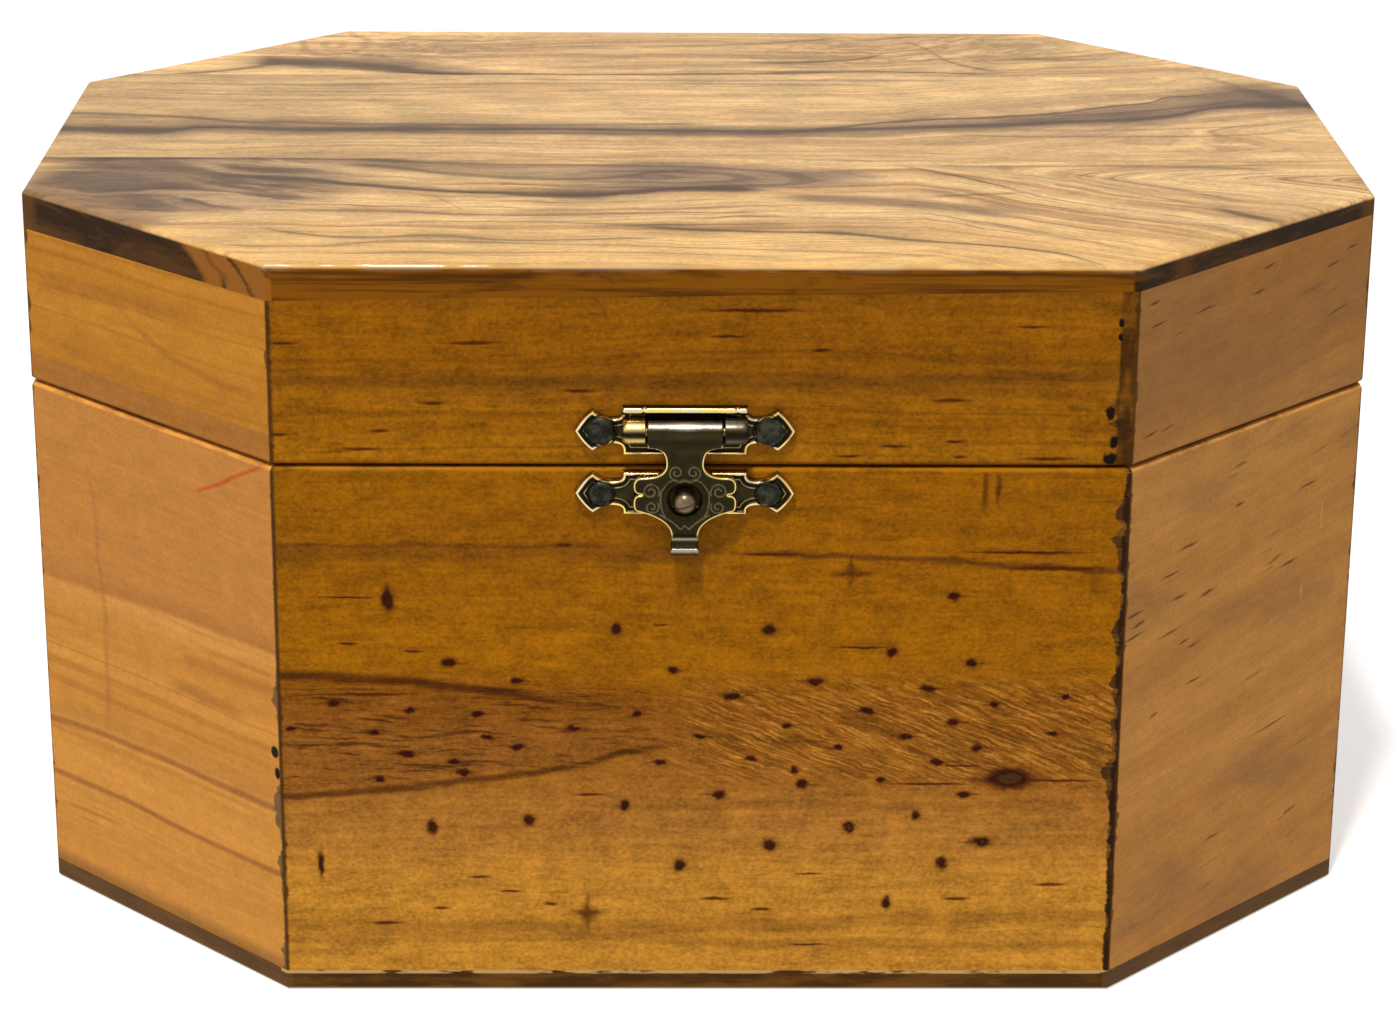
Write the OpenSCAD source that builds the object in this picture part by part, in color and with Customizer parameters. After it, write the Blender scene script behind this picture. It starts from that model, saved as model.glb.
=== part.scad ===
/* [Box] */
// Width across the two ends
box_w = 175; // [140:1:240]
// Depth from the front face to the back face
box_d = 130; // [110:1:190]
// Height of the closed box
box_h = 97.2; // [80:0.1:140]
// How far each corner is cut back along the front and along the end
corner_cut = 34.5; // [24:0.5:42]
// Thickness of the wall boards
wall_t = 8; // [6:0.1:12]
// Thickness of the base board
base_t = 2.8; // [2:0.1:6]
// Rounding of the sanded outer edges
edge_r = 0.6; // [0.3:0.1:1.5]

/* [Lid] */
// Height of the lid, top boards included
lid_h = 25.7; // [20:0.1:40]
// Gap between the lid and the body when the box is closed
lid_gap = 0.35; // [0.3:0.05:0.6]
// Thickness of the top boards at the left end
top_t_left = 5.1; // [2.5:0.1:8]
// Thickness of the top boards at the right end
top_t_right = 2.7; // [2.5:0.1:8]
// Distance of the front glue seam from the middle of the top
front_seam = 13.3; // [5:0.1:30]
// Distance of the back glue seam from the middle of the top
back_seam = 35.5; // [10:0.1:45]

/* [Latch plates] */
// Sideways place of the latch from the middle of the front
latch_x = -2.1; // [-15:0.1:15]
// Thickness of the stamped sheet
sheet_t = 0.8; // [0.6:0.05:1]
// Width of a plate's straight middle
plate_w = 15.4; // [14.8:0.1:20]
// Height of the hasp plate's straight middle
hasp_plate_h = 6.2; // [6.2:0.1:8]
// Height of the keeper plate's straight middle
keeper_plate_h = 5.6; // [5.3:0.1:6]
// Height of the neck between the middle and a spear end
neck_h = 3.3; // [2:0.1:4]
// Height of a spear end across its barbs
barb_h = 5.3; // [4.6:0.1:5.6]
// Distance of the neck from the straight middle
neck_out = 1.3; // [1:0.1:1.6]
// Distance of the barbs from the straight middle
barb_out = 3.6; // [3:0.1:4.4]
// Distance of a spear's tip from the straight middle
tip_out = 5.9; // [5:0.1:8]
// Distance of a nail from the straight middle
nail_out = 2.6; // [2.2:0.1:3]
// Fullness of a spear's edge from barb to tip, where 0.5 is straight
spear_belly = 0.75; // [0.5:0.05:0.8]
// Height of the hasp plate's middle above the lid's edge
hasp_plate_up = 4.7; // [4.2:0.1:7]
// Depth of the keeper plate's middle below the body's edge
keeper_down = 3; // [2.9:0.1:5]
// Height of the raised rim around each plate
rim_h = 0.25; // [0.1:0.05:0.4]
// Width of the raised rim around each plate
rim_w = 0.5; // [0.3:0.05:0.6]
// Radius of the rolled top edge of the hasp plate
roll_r = 0.5; // [0.3:0.05:0.7]

/* [Hasp] */
// Outside diameter of the latch's knuckles
barrel_d = 3; // [2.6:0.1:3.1]
// Length of the hasp's own knuckle
barrel_len = 9.3; // [7:0.1:10]
// Diameter of the hasp pin
latch_pin_d = 1.2; // [1:0.1:1.6]
// Distance of the hasp pin from the front of the box
barrel_out = 1.85; // [1.85:0.05:2.2]
// Height of the hasp pin above the middle of the hasp plate
pin_rise = 0.25; // [0:0.05:0.4]
// Width of the hasp at its neck
hasp_neck_w = 4.7; // [4:0.1:7]
// Width of the hasp across its wings
wing_w = 12.7; // [11:0.1:15]
// Depth below the pin to which the hasp keeps its knuckle's full width
root_drop = 1.9; // [1.6:0.1:2.6]
// Depth of the neck below the pin
neck_drop = 4.1; // [3.4:0.1:4.5]
// Depth of the lower edge of the wings below the middle of the hole
wing_drop = 1.5; // [1.3:0.1:2.4]
// Height of the upper edge of the wings above the middle of the hole
wing_rise = 3; // [2.3:0.1:3.2]
// Radius of the rounded lobes at the corners of the wings
lobe_r = 1.2; // [0.8:0.1:1.6]
// Depth of the cusp between the two lobes of a wing
cusp_in = 1; // [0.4:0.1:1.2]
// Width of the finger tongue
tongue_w = 3.4; // [2.6:0.1:5]
// Length of the finger tongue below the wings
tongue_len = 3.2; // [2:0.1:5]
// Radius of the tongue's outward curl
curl_r = 1.5; // [1:0.1:2]
// Turn of the tongue's outward curl
curl_turn = 70; // [45:5:90]
// Diameter of the hole that goes over the knob
hole_d = 3.9; // [3.6:0.1:5]
// Diameter of the knob's ball
knob_d = 3; // [2:0.1:3.2]
// Diameter of the knob's stem
stem_d = 1.4; // [1:0.1:1.8]
// Height of the knob's collar on the keeper plate
collar_h = 0.6; // [0.4:0.1:0.9]
// Distance of the ball's middle from the front of the box
knob_out = 2.7; // [2.6:0.1:4]
// Distance of the knob below the middle of the keeper plate
knob_drop = 0.5; // [0:0.1:0.8]

/* [Hinges] */
// Distance of each hinge from the middle of the back
hinge_x = 30; // [18:1:35]
// Length of a hinge along its pin
hinge_len = 22; // [16:1:30]
// Length of the lid's knuckle
lid_knuckle_len = 8; // [5:0.5:11]
// Height of a hinge leaf from the pin to its far edge
leaf_h = 9; // [7:0.5:11]
// Thickness of a hinge leaf
leaf_t = 0.9; // [0.6:0.1:1]
// Outside diameter of the hinge knuckles
knuckle_d = 3.4; // [3:0.1:4]
// Diameter of the hinge pins
hinge_pin_d = 1.6; // [1:0.1:2]
// Distance of a hinge nail from the end of its leaf
nail_inset = 4.4; // [2:0.1:6]

/* [Nails and fits] */
// Diameter of a hasp plate nail's head
hasp_nail_d = 3.8; // [2.4:0.1:3.9]
// Diameter of a keeper nail's head
keeper_nail_d = 3.2; // [2.4:0.1:3.9]
// Diameter of a hinge nail's head
hinge_nail_d = 2.6; // [2:0.1:3.2]
// Height of a nail's head
nail_head_h = 0.7; // [0.4:0.05:0.8]
// Diameter of a nail's shank
shank_d = 1; // [0.8:0.1:1.4]
// Wood left behind the point of a nail or of the knob's stem
wood_left = 2; // [1:0.1:3]
// Clearance round a pin that turns, on the radius
pin_fit = 0.05; // [0.02:0.01:0.1]
// Clearance round a nail or a stem, on the radius
nail_fit = 0.03; // [0.01:0.01:0.1]
// Gap between the ends of neighbouring knuckles
end_gap = 0.2; // [0.1:0.05:0.4]
// Gap between a turning piece and what it passes
run_gap = 0.3; // [0.2:0.05:0.5]

/* [Hidden] */
$fn = 48;
curve_steps = 6;
mitre = tan(22.5);
half_w = box_w / 2;
half_d = box_d / 2;
rim_z = box_h - lid_h;
body_top = rim_z - lid_gap / 2;
lid_low = rim_z + lid_gap / 2;
corner_span = (half_w + half_d - corner_cut) / sqrt(2);
hinge_out = knuckle_d / 2 + run_gap;
leaf_start = knuckle_d / 2 + run_gap;
shank_len = wall_t - wood_left;
keeper_z = body_top - keeper_down;
hasp_plate_z = lid_low + hasp_plate_up;
knob_z = keeper_z - knob_drop;
hole_drop = hasp_plate_z + pin_rise - knob_z;
plate_reach = plate_w / 2 + tip_out;
nail_x = plate_w / 2 + nail_out;
hinge_nail_x = hinge_len / 2 - nail_inset;
hinge_nail_drop = (leaf_start + leaf_h) / 2;
// The eight sides, counted from the right end towards the back
RIGHT = 0;
BACK_RIGHT = 1;
BACK = 2;
BACK_LEFT = 3;
LEFT = 4;
FRONT_LEFT = 5;
FRONT = 6;
FRONT_RIGHT = 7;
HONEY = "#b07c32";
AMBER = "#96601a";
OLIVE = "#d7b07a";
UMBER = "#4a2f18";
BRASS = "#8a7440";
IRON = "#3c3c40";

// Corner points of the octagon, moved in from the outside by an even distance
function ring(inset) =
    let (
        w = half_w - inset,
        d = half_d - inset,
        e = half_w - corner_cut - inset * mitre,
        g = half_d - corner_cut - inset * mitre
    )
    [[w, g], [e, d], [-e, d], [-w, g], [-w, -g], [-e, -d], [e, -d], [w, -g]];

// Distance of a side's outer face from the middle of the box
function side_span(side) =
    side % 2 == 1 ? corner_span : (side % 4 == 0 ? half_w : half_d);

// Height of the seat under the top boards, which slopes from end to end
function seat_z(x) = box_h - top_t_left + (top_t_left - top_t_right) * (x + half_w) / box_w;

// Points along a curve from p to r that heads for q, without its last point
function curve(p, q, r) =
    [for (i = [0 : curve_steps - 1]) let (t = i / curve_steps)
        p * pow(1 - t, 2) + q * 2 * t * (1 - t) + r * pow(t, 2)];

function tail(points) = [for (i = [1 : len(points) - 1]) points[i]];
function flip_x(points) = [for (i = [len(points) - 1 : -1 : 0]) [-points[i].x, points[i].y]];
function flip_y(points) = [for (i = [len(points) - 1 : -1 : 0]) [points[i].x, -points[i].y]];

// Upper right quarter of a latch plate, from the straight middle out to the spear's tip
function plate_quarter(h, inset) =
    let (
        side = plate_w / 2,
        shoulder = [side - inset, (h + neck_h) / 4 - inset],
        neck = [side + neck_out, neck_h / 2 - inset],
        barb = [side + barb_out, barb_h / 2 - inset],
        tip = [plate_reach - inset, 0]
    )
    concat(
        [[side - inset, h / 2 - inset]],
        curve(shoulder, [shoulder.x, neck.y], neck),
        curve(neck, [(neck.x + barb.x) / 2, neck.y], barb),
        curve(barb, [(barb.x + tip.x) / 2, barb.y * spear_belly], tip),
        [tip]
    );

// Whole outline of a latch plate of height h, drawn in from its edge by an inset
function plate_outline(h, inset) =
    let (upper = plate_quarter(h, inset), right = concat(upper, tail(flip_y(upper))))
    concat(right, flip_x(right));

// Right side of the hasp, from its knuckle down to the tongue, with the pin at the origin
function hasp_side() =
    let (
        side = wing_w / 2,
        top = -hole_drop + wing_rise,
        low = -hole_drop - wing_drop,
        root = [barrel_len / 2, -root_drop],
        neck = [hasp_neck_w / 2, -neck_drop],
        cusp = [side - cusp_in, (top + low) / 2],
        heel = [side - lobe_r / 2, low],
        tongue = [tongue_w / 2, low - tongue_len]
    )
    concat(
        [[root.x, 0]],
        curve(root, [neck.x, root.y], neck),
        curve(neck, [neck.x, top], [side - lobe_r, top]),
        curve([side - lobe_r, top], [side, top], [side, top - lobe_r]),
        curve([side, top - lobe_r], [side, cusp.y], cusp),
        curve(cusp, [side, cusp.y], [side, low + lobe_r]),
        curve([side, low + lobe_r], [side, low], heel),
        curve(heel, [tongue.x, low - tongue_len / 3], tongue),
        [tongue]
    );

function hasp_outline() = concat(hasp_side(), flip_x(hasp_side()));

// Stands a flat drawing up against the front of the box, thickness towards the viewer
module on_front(x, z, out = 0) {
    translate([x, -half_d - out, z]) rotate([90, 0, 0]) children();
}

// Stands a drawing up against the back of the box, thickness away from it
module on_back(x, z, out = 0) {
    translate([x, half_d + out, z]) rotate([-90, 0, 0]) children();
}

// Rectangle whose outer corners can be rounded, drawn inwards from x = 0
module board_profile(depth, low, high, round_low, round_high) {
    difference() {
        translate([-depth, low]) square([depth, high - low]);
        if (round_low) corner_waste(low, 1);
        if (round_high) corner_waste(high, -1);
    }
}

// What sanding takes off an outer corner at height z
module corner_waste(z, way) {
    difference() {
        translate([-edge_r, way > 0 ? z : z - edge_r]) square([edge_r * 2, edge_r]);
        translate([-edge_r, z + way * edge_r]) circle(edge_r);
    }
}

// One straight board of the octagon, mitred at both ends
module wall_board(side, low, high, round_low, round_high) {
    outer = ring(0);
    inner = ring(wall_t);
    last = (side + 7) % 8;
    intersection() {
        linear_extrude(box_h) polygon([outer[last], outer[side], inner[side], inner[last]]);
        rotate([0, 0, side * 45]) translate([side_span(side), 0, 0]) rotate([90, 0, 0])
            linear_extrude(box_w * 2, center = true)
                board_profile(wall_t, low, high, round_low, round_high);
    }
}

module body_board(side) {
    wall_board(side, base_t, body_top, false, true);
}

// A lid board, planed to the sloping seat of the top boards
module lid_board(side) {
    intersection() {
        wall_board(side, lid_low, box_h, true, false);
        seat_to(0);
    }
}

// All the space between the top boards' seat and a level plane
module seat_to(level) {
    rotate([90, 0, 0]) linear_extrude(box_d * 2, center = true)
        polygon([[-box_w, seat_z(-box_w)], [box_w, seat_z(box_w)], [box_w, level], [-box_w, level]]);
}

// Octagonal slab whose outer edges are rounded on one face
module slab(low, high, round_low, round_high) {
    intersection_for (side = [0 : 3])
        rotate([0, 0, side * 45]) rotate([90, 0, 0]) linear_extrude(box_w * 2, center = true) {
            for (way = [0, 1]) mirror([way, 0]) translate([side_span(side), 0])
                board_profile(side_span(side), low, high, round_low, round_high);
        }
}

// Strip of the top between two seams
module top_board(from_y, to_y) {
    color(OLIVE) intersection() {
        slab(rim_z, box_h, false, true);
        seat_to(box_h * 2);
        translate([-box_w, from_y, 0]) cube([box_w * 2, to_y - from_y, box_h * 2]);
    }
}

// Nail along +Z with its head's underside at the origin
module nail(head_d, grip) {
    dome_r = (pow(head_d / 2, 2) + pow(nail_head_h, 2)) / (2 * nail_head_h);
    intersection() {
        cylinder(d = head_d, h = nail_head_h);
        translate([0, 0, nail_head_h - dome_r]) sphere(dome_r);
    }
    translate([0, 0, -grip - shank_len]) cylinder(d = shank_d, h = grip + shank_len);
}

// Hole for a nail or stem, from behind the point out past the face at the origin
module nail_hole(d) {
    translate([0, 0, -shank_len - nail_fit]) cylinder(d = d + nail_fit * 2, h = shank_len + wall_t);
}

module at_plate_nails(z) {
    for (way = [-1, 1]) on_front(latch_x + way * nail_x, z) children();
}

module at_hinge_nails(z) {
    for (place = [-hinge_x, hinge_x], way = [-1, 1]) on_back(place + way * hinge_nail_x, z) children();
}

// Stamped plate of height h with a spear at each end and a raised rim
module latch_plate(h, nail_d) {
    linear_extrude(sheet_t) polygon(plate_outline(h, 0));
    linear_extrude(sheet_t + rim_h) difference() {
        polygon(plate_outline(h, 0));
        polygon(plate_outline(h, rim_w));
        for (way = [-1, 1]) translate([way * nail_x, 0]) circle(d = nail_d + nail_fit * 2);
    }
}

// Round bar along X through the origin
module bar(d, from_x, to_x) {
    translate([from_x, 0, 0]) rotate([0, 90, 0]) cylinder(d = d, h = to_x - from_x);
}

module at_hasp_pin() {
    translate([latch_x, -half_d - barrel_out, hasp_plate_z + pin_rise]) children();
}

module at_hinge_pin(x) {
    translate([x, half_d + hinge_out, rim_z]) children();
}

// Two outer knuckles of the hasp plate, each with a web back to the plate
module plate_knuckles() {
    for (way = [0, 1]) mirror([way, 0, 0]) {
        bar(barrel_d, barrel_len / 2 + end_gap, plate_w / 2);
        translate([barrel_len / 2 + end_gap, 0, -barrel_d / 2])
            cube([plate_w / 2 - barrel_len / 2 - end_gap, barrel_out, barrel_d]);
    }
}

// Outward curl at the end of the tongue, its root at the origin
module tongue_curl() {
    translate([tongue_w / 2, -curl_r - sheet_t, 0]) rotate([0, -90, 0]) rotate([0, 0, 90])
        rotate_extrude(angle = curl_turn) translate([curl_r, 0]) square([sheet_t, tongue_w]);
}

// Hinge leaf that lies on the back, its pin at the origin; up is 1 for the lid and -1 for the body
module hinge_leaf(up, knuckles) {
    difference() {
        union() {
            translate([-hinge_len / 2, -hinge_out, up > 0 ? leaf_start : -leaf_h])
                cube([hinge_len, leaf_t, leaf_h - leaf_start]);
            for (span = knuckles) {
                bar(knuckle_d, span[0], span[1]);
                translate([span[0], -hinge_out, up > 0 ? 0 : -leaf_start])
                    cube([span[1] - span[0], leaf_t, leaf_start]);
            }
        }
        bar(hinge_pin_d + pin_fit * 2, -hinge_len, hinge_len);
        for (way = [-1, 1]) translate([way * hinge_nail_x, -hinge_out, up * hinge_nail_drop])
            rotate([-90, 0, 0]) nail_hole(shank_d);
    }
}

module lid_leaf(x) {
    color(BRASS) at_hinge_pin(x) hinge_leaf(1, [[-lid_knuckle_len / 2, lid_knuckle_len / 2]]);
}

module body_leaf(x) {
    inner_end = lid_knuckle_len / 2 + end_gap;
    color(BRASS) at_hinge_pin(x)
        hinge_leaf(-1, [[-hinge_len / 2, -inner_end], [inner_end, hinge_len / 2]]);
}

module hinge_pin(x) {
    color(BRASS) at_hinge_pin(x) bar(hinge_pin_d, -hinge_len / 2, hinge_len / 2);
}

module base_board() {
    color(UMBER) slab(0, base_t, true, false);
}

module body_front() {
    color(AMBER) difference() {
        body_board(FRONT);
        at_plate_nails(keeper_z) nail_hole(shank_d);
        on_front(latch_x, knob_z) nail_hole(stem_d);
    }
}

module body_back() {
    color(AMBER) difference() {
        body_board(BACK);
        at_hinge_nails(rim_z - hinge_nail_drop) nail_hole(shank_d);
    }
}

module body_left_end() {
    color(HONEY) body_board(LEFT);
}

module body_right_end() {
    color(HONEY) body_board(RIGHT);
}

module body_corner_front_left() {
    color(HONEY) body_board(FRONT_LEFT);
}

module body_corner_front_right() {
    color(HONEY) body_board(FRONT_RIGHT);
}

module body_corner_back_left() {
    color(HONEY) body_board(BACK_LEFT);
}

module body_corner_back_right() {
    color(HONEY) body_board(BACK_RIGHT);
}

module keeper_plate() {
    color(BRASS) difference() {
        on_front(latch_x, keeper_z) latch_plate(keeper_plate_h, keeper_nail_d);
        at_plate_nails(keeper_z) nail_hole(shank_d);
        on_front(latch_x, knob_z) nail_hole(stem_d);
    }
}

// Ball on a stem, with a collar that holds the plate down
module keeper_knob() {
    color(BRASS) on_front(latch_x, knob_z) {
        translate([0, 0, -shank_len]) cylinder(d = stem_d, h = shank_len + knob_out);
        translate([0, 0, sheet_t]) cylinder(d1 = knob_d, d2 = stem_d, h = collar_h);
        translate([0, 0, knob_out]) sphere(d = knob_d);
    }
}

module keeper_nails() {
    color(IRON) at_plate_nails(keeper_z) translate([0, 0, sheet_t]) nail(keeper_nail_d, sheet_t);
}

module hinge_left_body_leaf() {
    body_leaf(-hinge_x);
}

module hinge_right_body_leaf() {
    body_leaf(hinge_x);
}

module hinge_left_pin() {
    hinge_pin(-hinge_x);
}

module hinge_right_pin() {
    hinge_pin(hinge_x);
}

module hinge_body_nails() {
    color(IRON) at_hinge_nails(rim_z - hinge_nail_drop)
        translate([0, 0, leaf_t]) nail(hinge_nail_d, leaf_t);
}

module lid_front() {
    color(AMBER) difference() {
        lid_board(FRONT);
        at_plate_nails(hasp_plate_z) nail_hole(shank_d);
    }
}

module lid_back() {
    color(AMBER) difference() {
        lid_board(BACK);
        at_hinge_nails(rim_z + hinge_nail_drop) nail_hole(shank_d);
    }
}

module lid_left_end() {
    color(HONEY) lid_board(LEFT);
}

module lid_right_end() {
    color(HONEY) lid_board(RIGHT);
}

module lid_corner_front_left() {
    color(HONEY) lid_board(FRONT_LEFT);
}

module lid_corner_front_right() {
    color(HONEY) lid_board(FRONT_RIGHT);
}

module lid_corner_back_left() {
    color(HONEY) lid_board(BACK_LEFT);
}

module lid_corner_back_right() {
    color(HONEY) lid_board(BACK_RIGHT);
}

module top_front() {
    top_board(-half_d, -front_seam);
}

module top_middle() {
    top_board(-front_seam, back_seam);
}

module top_back() {
    top_board(back_seam, half_d);
}

// Plate with a rolled top edge, two knuckles and a window behind the hasp's knuckle
module hasp_plate() {
    window_h = barrel_d + run_gap * 2;
    color(BRASS) difference() {
        union() {
            on_front(latch_x, hasp_plate_z) latch_plate(hasp_plate_h, hasp_nail_d);
            at_hasp_pin() plate_knuckles();
            on_front(latch_x, hasp_plate_z + hasp_plate_h / 2 - roll_r, sheet_t)
                bar(roll_r * 2, -plate_w / 2, plate_w / 2);
        }
        on_front(latch_x, hasp_plate_z + pin_rise) translate([0, 0, sheet_t])
            cube([barrel_len + end_gap * 2, window_h, sheet_t * 4], center = true);
        at_hasp_pin() bar(latch_pin_d + pin_fit * 2, -plate_w, plate_w);
        at_plate_nails(hasp_plate_z) nail_hole(shank_d);
    }
}

module hasp_pin() {
    color(BRASS) at_hasp_pin() bar(latch_pin_d, -plate_w / 2, plate_w / 2);
}

module hasp_nails() {
    color(IRON) at_plate_nails(hasp_plate_z) translate([0, 0, sheet_t]) nail(hasp_nail_d, sheet_t);
}

// Swinging hasp: knuckle, winged leaf with its hole, and curled finger tongue
module hasp_leaf() {
    leaf_back = sheet_t / 2;
    tongue_end = hole_drop + wing_drop + tongue_len;
    color(BRASS) at_hasp_pin() difference() {
        union() {
            bar(barrel_d, -barrel_len / 2, barrel_len / 2);
            translate([0, leaf_back, 0]) rotate([90, 0, 0]) linear_extrude(sheet_t) difference() {
                polygon(hasp_outline());
                translate([0, -hole_drop]) circle(d = hole_d);
            }
            translate([0, leaf_back, -tongue_end]) tongue_curl();
        }
        bar(latch_pin_d + pin_fit * 2, -plate_w, plate_w);
    }
}

module hinge_left_lid_leaf() {
    lid_leaf(-hinge_x);
}

module hinge_right_lid_leaf() {
    lid_leaf(hinge_x);
}

module hinge_lid_nails() {
    color(IRON) at_hinge_nails(rim_z + hinge_nail_drop)
        translate([0, 0, leaf_t]) nail(hinge_nail_d, leaf_t);
}

base_board();
body_front();
body_back();
body_left_end();
body_right_end();
body_corner_front_left();
body_corner_front_right();
body_corner_back_left();
body_corner_back_right();
keeper_plate();
keeper_knob();
keeper_nails();
hinge_left_body_leaf();
hinge_right_body_leaf();
hinge_left_pin();
hinge_right_pin();
hinge_body_nails();
lid_front();
lid_back();
lid_left_end();
lid_right_end();
lid_corner_front_left();
lid_corner_front_right();
lid_corner_back_left();
lid_corner_back_right();
top_front();
top_middle();
top_back();
hasp_plate();
hasp_pin();
hasp_nails();
hinge_left_lid_leaf();
hinge_right_lid_leaf();
hinge_lid_nails();
hasp_leaf();
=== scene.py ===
import math

import bmesh
import bpy
import numpy as np
from mathutils import Matrix, Vector


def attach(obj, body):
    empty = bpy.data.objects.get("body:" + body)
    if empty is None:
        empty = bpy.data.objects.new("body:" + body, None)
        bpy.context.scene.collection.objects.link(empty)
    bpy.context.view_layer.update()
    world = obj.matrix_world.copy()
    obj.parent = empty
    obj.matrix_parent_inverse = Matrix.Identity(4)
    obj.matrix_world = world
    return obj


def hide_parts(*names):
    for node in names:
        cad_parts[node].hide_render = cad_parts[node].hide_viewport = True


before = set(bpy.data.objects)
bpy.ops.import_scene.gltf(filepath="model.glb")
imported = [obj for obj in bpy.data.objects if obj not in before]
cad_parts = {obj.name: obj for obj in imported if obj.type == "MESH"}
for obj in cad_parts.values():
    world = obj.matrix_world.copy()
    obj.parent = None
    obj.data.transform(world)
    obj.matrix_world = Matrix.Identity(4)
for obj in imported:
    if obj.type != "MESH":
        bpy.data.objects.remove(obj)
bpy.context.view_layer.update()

# Sizes in millimetres, the same as in the part's own source
MM = 0.001
HALF_W, HALF_D, FRONT_HALF, END_HALF, CORNER_HALF, DIAGONAL = 87.5, 65.0, 53.0, 30.5, 24.4, 118.0
LATCH_X, KEEPER_Z, KNOB_Z, HASP_Z = -2.1, 68.325, 67.825, 76.375
SHEET_T, RIM_H = 0.8, 0.25
PLATE_W, NECK_H, BARB_H = 15.4, 3.3, 5.3
NECK_OUT, BARB_OUT, TIP_OUT, NAIL_OUT = 1.3, 3.6, 5.9, 2.6
HASP_PLATE_H, KEEPER_PLATE_H, ROLL_R = 6.2, 5.6, 0.5
BARREL_R, BARREL_LEN, PIN_R, BARREL_OUT, PIN_RISE = 1.5, 9.3, 0.65, 1.85, 0.25
HOLE_DROP, HOLE_R, BALL_R, BALL_OUT = 8.8, 1.95, 1.5, 2.7
TONGUE_END, TONGUE_HALF, CURL_R = 13.5, 1.7, 1.9
ROLL_TURN, CURL_TURN = 255, 70
KEEPER_NAIL_R, HASP_NAIL_R = 1.6, 1.9
NAIL_X = PLATE_W / 2 + NAIL_OUT
PARTING_Z, TOP_Z = 71.5, 97.2

# Points this close, in metres, are one; shorter edges are dropped; bends up to this angle are shaded round
WELD, SLIVER, CREASE = 2e-6, 1e-6, math.radians(50)
# The two axes of a face that marks are set out on: along and up, along and back
ACROSS_UP, ACROSS_BACK = (0, 2), (0, 1)


def rgb(r, g, b):
    """A colour as it looks on a screen, 0 to 255, turned into linear light."""
    c = np.array([r, g, b]) / 255
    return tuple(np.where(c > 0.04045, ((c + 0.055) / 1.055) ** 2.4, c / 12.92))


class Val:
    """One socket of a finish. Arithmetic on it adds Math nodes."""

    def __init__(self, finish, socket):
        self.finish, self.socket = finish, socket

    def math(self, operation, *values):
        return self.finish.node("ShaderNodeMath", {"operation": operation}, dict(enumerate(values)))

    def __add__(self, other):
        return self.math("ADD", self, other)

    __radd__ = __add__

    def __sub__(self, other):
        return self.math("SUBTRACT", self, other)

    def __rsub__(self, other):
        return self.math("SUBTRACT", other, self)

    def __mul__(self, other):
        return self.math("MULTIPLY", self, other)

    __rmul__ = __mul__

    def __truediv__(self, other):
        return self.math("DIVIDE", self, other)

    def __abs__(self):
        return self.math("ABSOLUTE", self)

    def __or__(self, other):
        return self.math("MAXIMUM", self, other)

    def __and__(self, other):
        return self.math("MINIMUM", self, other)

    def sine(self):
        return self.math("SINE", self)


class Nodes:
    """A node tree that nodes are added to."""

    def __init__(self, tree):
        self.tree = tree

    def node(self, kind, settings=None, sockets=None, out=0):
        """Adds a node: its settings first, then a value or a link for each of its sockets."""
        made = self.tree.nodes.new(kind)
        for key, value in (settings or {}).items():
            if key == "stops":
                ramp = made.color_ramp
                while len(ramp.elements) < len(value):
                    ramp.elements.new(1.0)
                for element, (place, colour) in zip(ramp.elements, value):
                    element.position, element.color = place, (*colour, 1.0)
            elif key == "points":
                points = made.mapping.curves[0].points
                while len(points) < len(value):
                    points.new(0.5, 0.5)
                for point, place in zip(points, value):
                    point.location = place
                made.mapping.update()
            else:
                setattr(made, key, value)
        for key, value in (sockets or {}).items():
            socket = made.inputs[key]
            if isinstance(value, Val):
                self.tree.links.new(value.socket, socket)
            elif hasattr(value, "__len__") and len(value) == 3 and socket.type == "RGBA":
                socket.default_value = (*value, 1.0)
            else:
                socket.default_value = value
        return Val(self, made.outputs[out])

    def link(self, value, node, socket):
        self.tree.links.new(value.socket, node.inputs[socket])

    def seen(self):
        """One for rays that show the background: the camera's own, and those from gloss or glass."""
        path = self.node("ShaderNodeLightPath").socket.node
        kinds = ("Is Camera Ray", "Is Glossy Ray", "Is Transmission Ray")
        direct, glossy, through = (Val(self, path.outputs[kind]) for kind in kinds)
        return direct | glossy | through


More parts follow.
